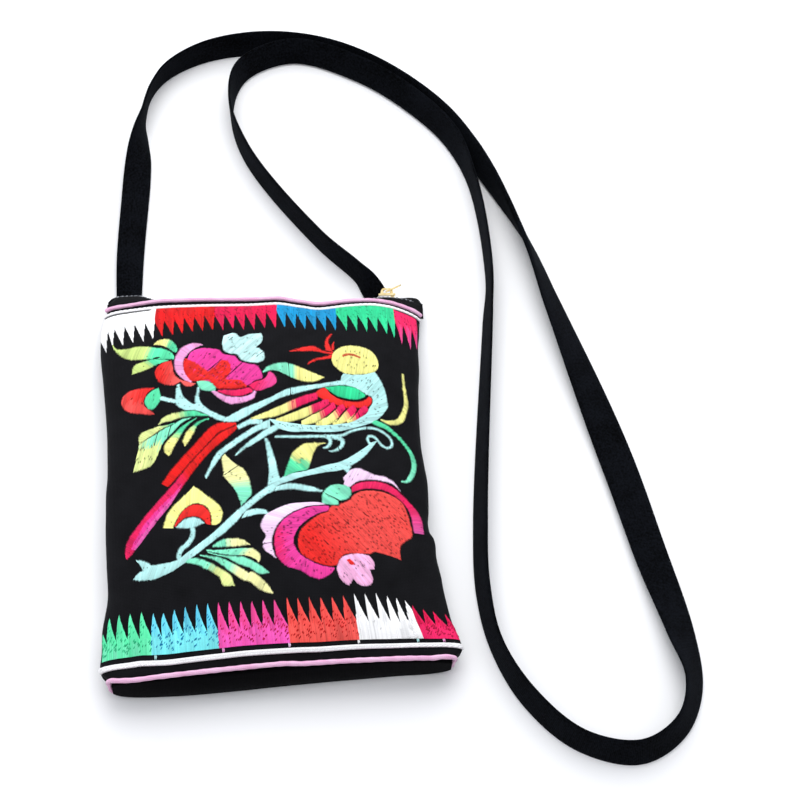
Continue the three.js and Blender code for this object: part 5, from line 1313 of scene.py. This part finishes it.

# Dark lines between stitches, between feathers and petals: black thread laid on top as painted shade, where
# the black cloth also shows; x, y, width
shadeGapLift = 0.5
shadeGaps = [
    [(-21, 52.4, 0.5), (-25, 48.8, 0.7), (-28, 46.5, 0.5)],
    [(-11, 50, 0.5), (-15.5, 45.5, 0.7), (-20, 41.5, 0.5)],
    [(-20.5, -9.6, 0.4), (-17, -7.2, 0.6), (-13.5, -4.9, 0.4)],
    [(28.2, -21.1, 0.4), (31.4, -22.8, 0.7), (34.7, -24.6, 0.5)],
    [(-54.4, 56.4, 0.4), (-52.8, 56.6, 1.1), (-51.2, 56.6, 0.4)], [(-16.4, 64.6, 0.4), (-14.6, 66, 0.6)],
    [(-5.6, 54, 0.4), (-4, 55.6, 0.6)], [(-3.6, 53, 0.4), (-2.4, 54.4, 0.6)],
    [(40, -54, 0.4), (42, -57, 0.6)], [(43, -53.4, 0.4), (44.6, -55.6, 0.5)],
    [(41.6, 42.8, 0.4), (44.4, 42.2, 0.5)],
    [(20, 24.6, 0.5), (24, 26.3, 0.6), (28, 27.7, 0.5)],
    [(24, 20.4, 0.5), (28, 22.4, 0.6), (32.4, 25.6, 0.5)],
    [(30, 18.5, 0.5), (34.3, 22.4, 0.6), (36, 24, 0.4)],
    [(35.2, 16.1, 0.5), (38.6, 21.1, 0.6), (41.2, 23.7, 0.4)],
    [(42, 17.4, 0.4), (44.4, 20, 0.6), (46.6, 23.6, 0.4)],
    [(32.4, 32.8, 0.4), (35.4, 30.2, 0.6), (38.8, 28.8, 0.7), (42.4, 28, 0.7), (46, 28, 0.7),
     (49.6, 29.3, 0.5), (51.2, 31, 0.4)],
]

sewing = {"satin": sewSatin, "line": sewLine, "fill": sewFill}
for name, motifs in (("leaf", leaves), ("branch", branches), ("flower", flowers), ("bird", bird)):
    threads = newThreads()
    for kind, thread, *shape in motifs:
        sewing[kind](threads, thread, *shape)
    if name == "bird":
        for line in shadeGaps:
            # black thread along these lines is painted shade between the stitched parts
            sewLine(threads, "black", line, shadeGapLift)
    makeThreads("stitches_" + name, threads)
makeThreads("stitches_sawtooth", bandThreads)

# Floor: white paper, matt, with the faint tooth of paper; lamps are x, y, z, watts and size in metres
studio = {
    "floor": 6, "drop": 0.2, "paper": "#FDFDFD", "roughness": 0.9, "tooth": 0.8, "toothDetail": 2,
    "relief": 0.03, "depth": 0.1,
    "air": "#F4F7FF", "sky": 1.0, "front": 0.25, "frontTo": -0.9, "skyFrom": 0.5, "aim": (0.02, 0.03, 0),
    "key": (0.1, 0.75, 1.0, 9.5, 1.1), "fill": (-0.2, -0.15, 1.2, 4, 1.2),
}


def makeStudio(settings):
    paper, tree, shader = startMaterial("white seamless paper")
    place = addNode(tree, "ShaderNodeTexCoord").outputs["Object"]
    grain = {"Scale": 1 / (settings["tooth"] * mm), "Detail": settings["toothDetail"]}
    tooth = addNode(tree, "ShaderNodeTexNoise", None, grain, {"Vector": place})
    raised = {"Strength": settings["relief"], "Distance": settings["depth"] * mm}
    bump = addNode(tree, "ShaderNodeBump", None, raised, {"Height": tooth.outputs["Fac"]})
    tree.links.new(bump.outputs["Normal"], shader.inputs["Normal"])
    setInputs(shader, {"Base Color": linear(settings["paper"]), "Roughness": settings["roughness"]})
    half, low = settings["floor"] / 2, -settings["drop"] * mm
    mesh = bpy.data.meshes.new("floor")
    mesh.from_pydata([(-half, -half, low), (half, -half, low), (half, half, low), (-half, half, low)], [],
                     [(0, 1, 2, 3)])
    mesh.materials.append(paper)
    floor = bpy.data.objects.new("floor", mesh)
    scene.collection.objects.link(floor)
    world = bpy.data.worlds.new("studio")
    scene.world = world
    world.use_nodes = True
    tree = world.node_tree
    around = addNode(tree, "ShaderNodeTexCoord").outputs["Generated"]
    facing = addNode(tree, "ShaderNodeSeparateXYZ", None, None, {"Vector": around})
    span = {"From Min": settings["frontTo"], "From Max": settings["skyFrom"],
            "To Min": settings["front"], "To Max": settings["sky"]}
    glow = addNode(tree, "ShaderNodeMapRange", None, span, {"Value": facing.outputs["Y"]})
    sky = tree.nodes["Background"]
    setInputs(sky, {"Color": linear(settings["air"])})
    tree.links.new(glow.outputs["Result"], sky.inputs["Strength"])
    for name in ("key", "fill"):
        x, y, z, power, size = settings[name]
        lamp = bpy.data.lights.new(name, "AREA")
        lamp.energy, lamp.size = power, size
        light = bpy.data.objects.new(name, lamp)
        back = np.array((x, y, z)) - settings["aim"]
        back /= np.linalg.norm(back)
        right = np.cross((0, 0, 1.0), back)
        right /= np.linalg.norm(right)
        light.matrix_world = standing((right, np.cross(back, right), back), (x, y, z))
        scene.collection.objects.link(light)
    scene.view_settings.view_transform = "Standard"
    print("studio set")


makeStudio(studio)
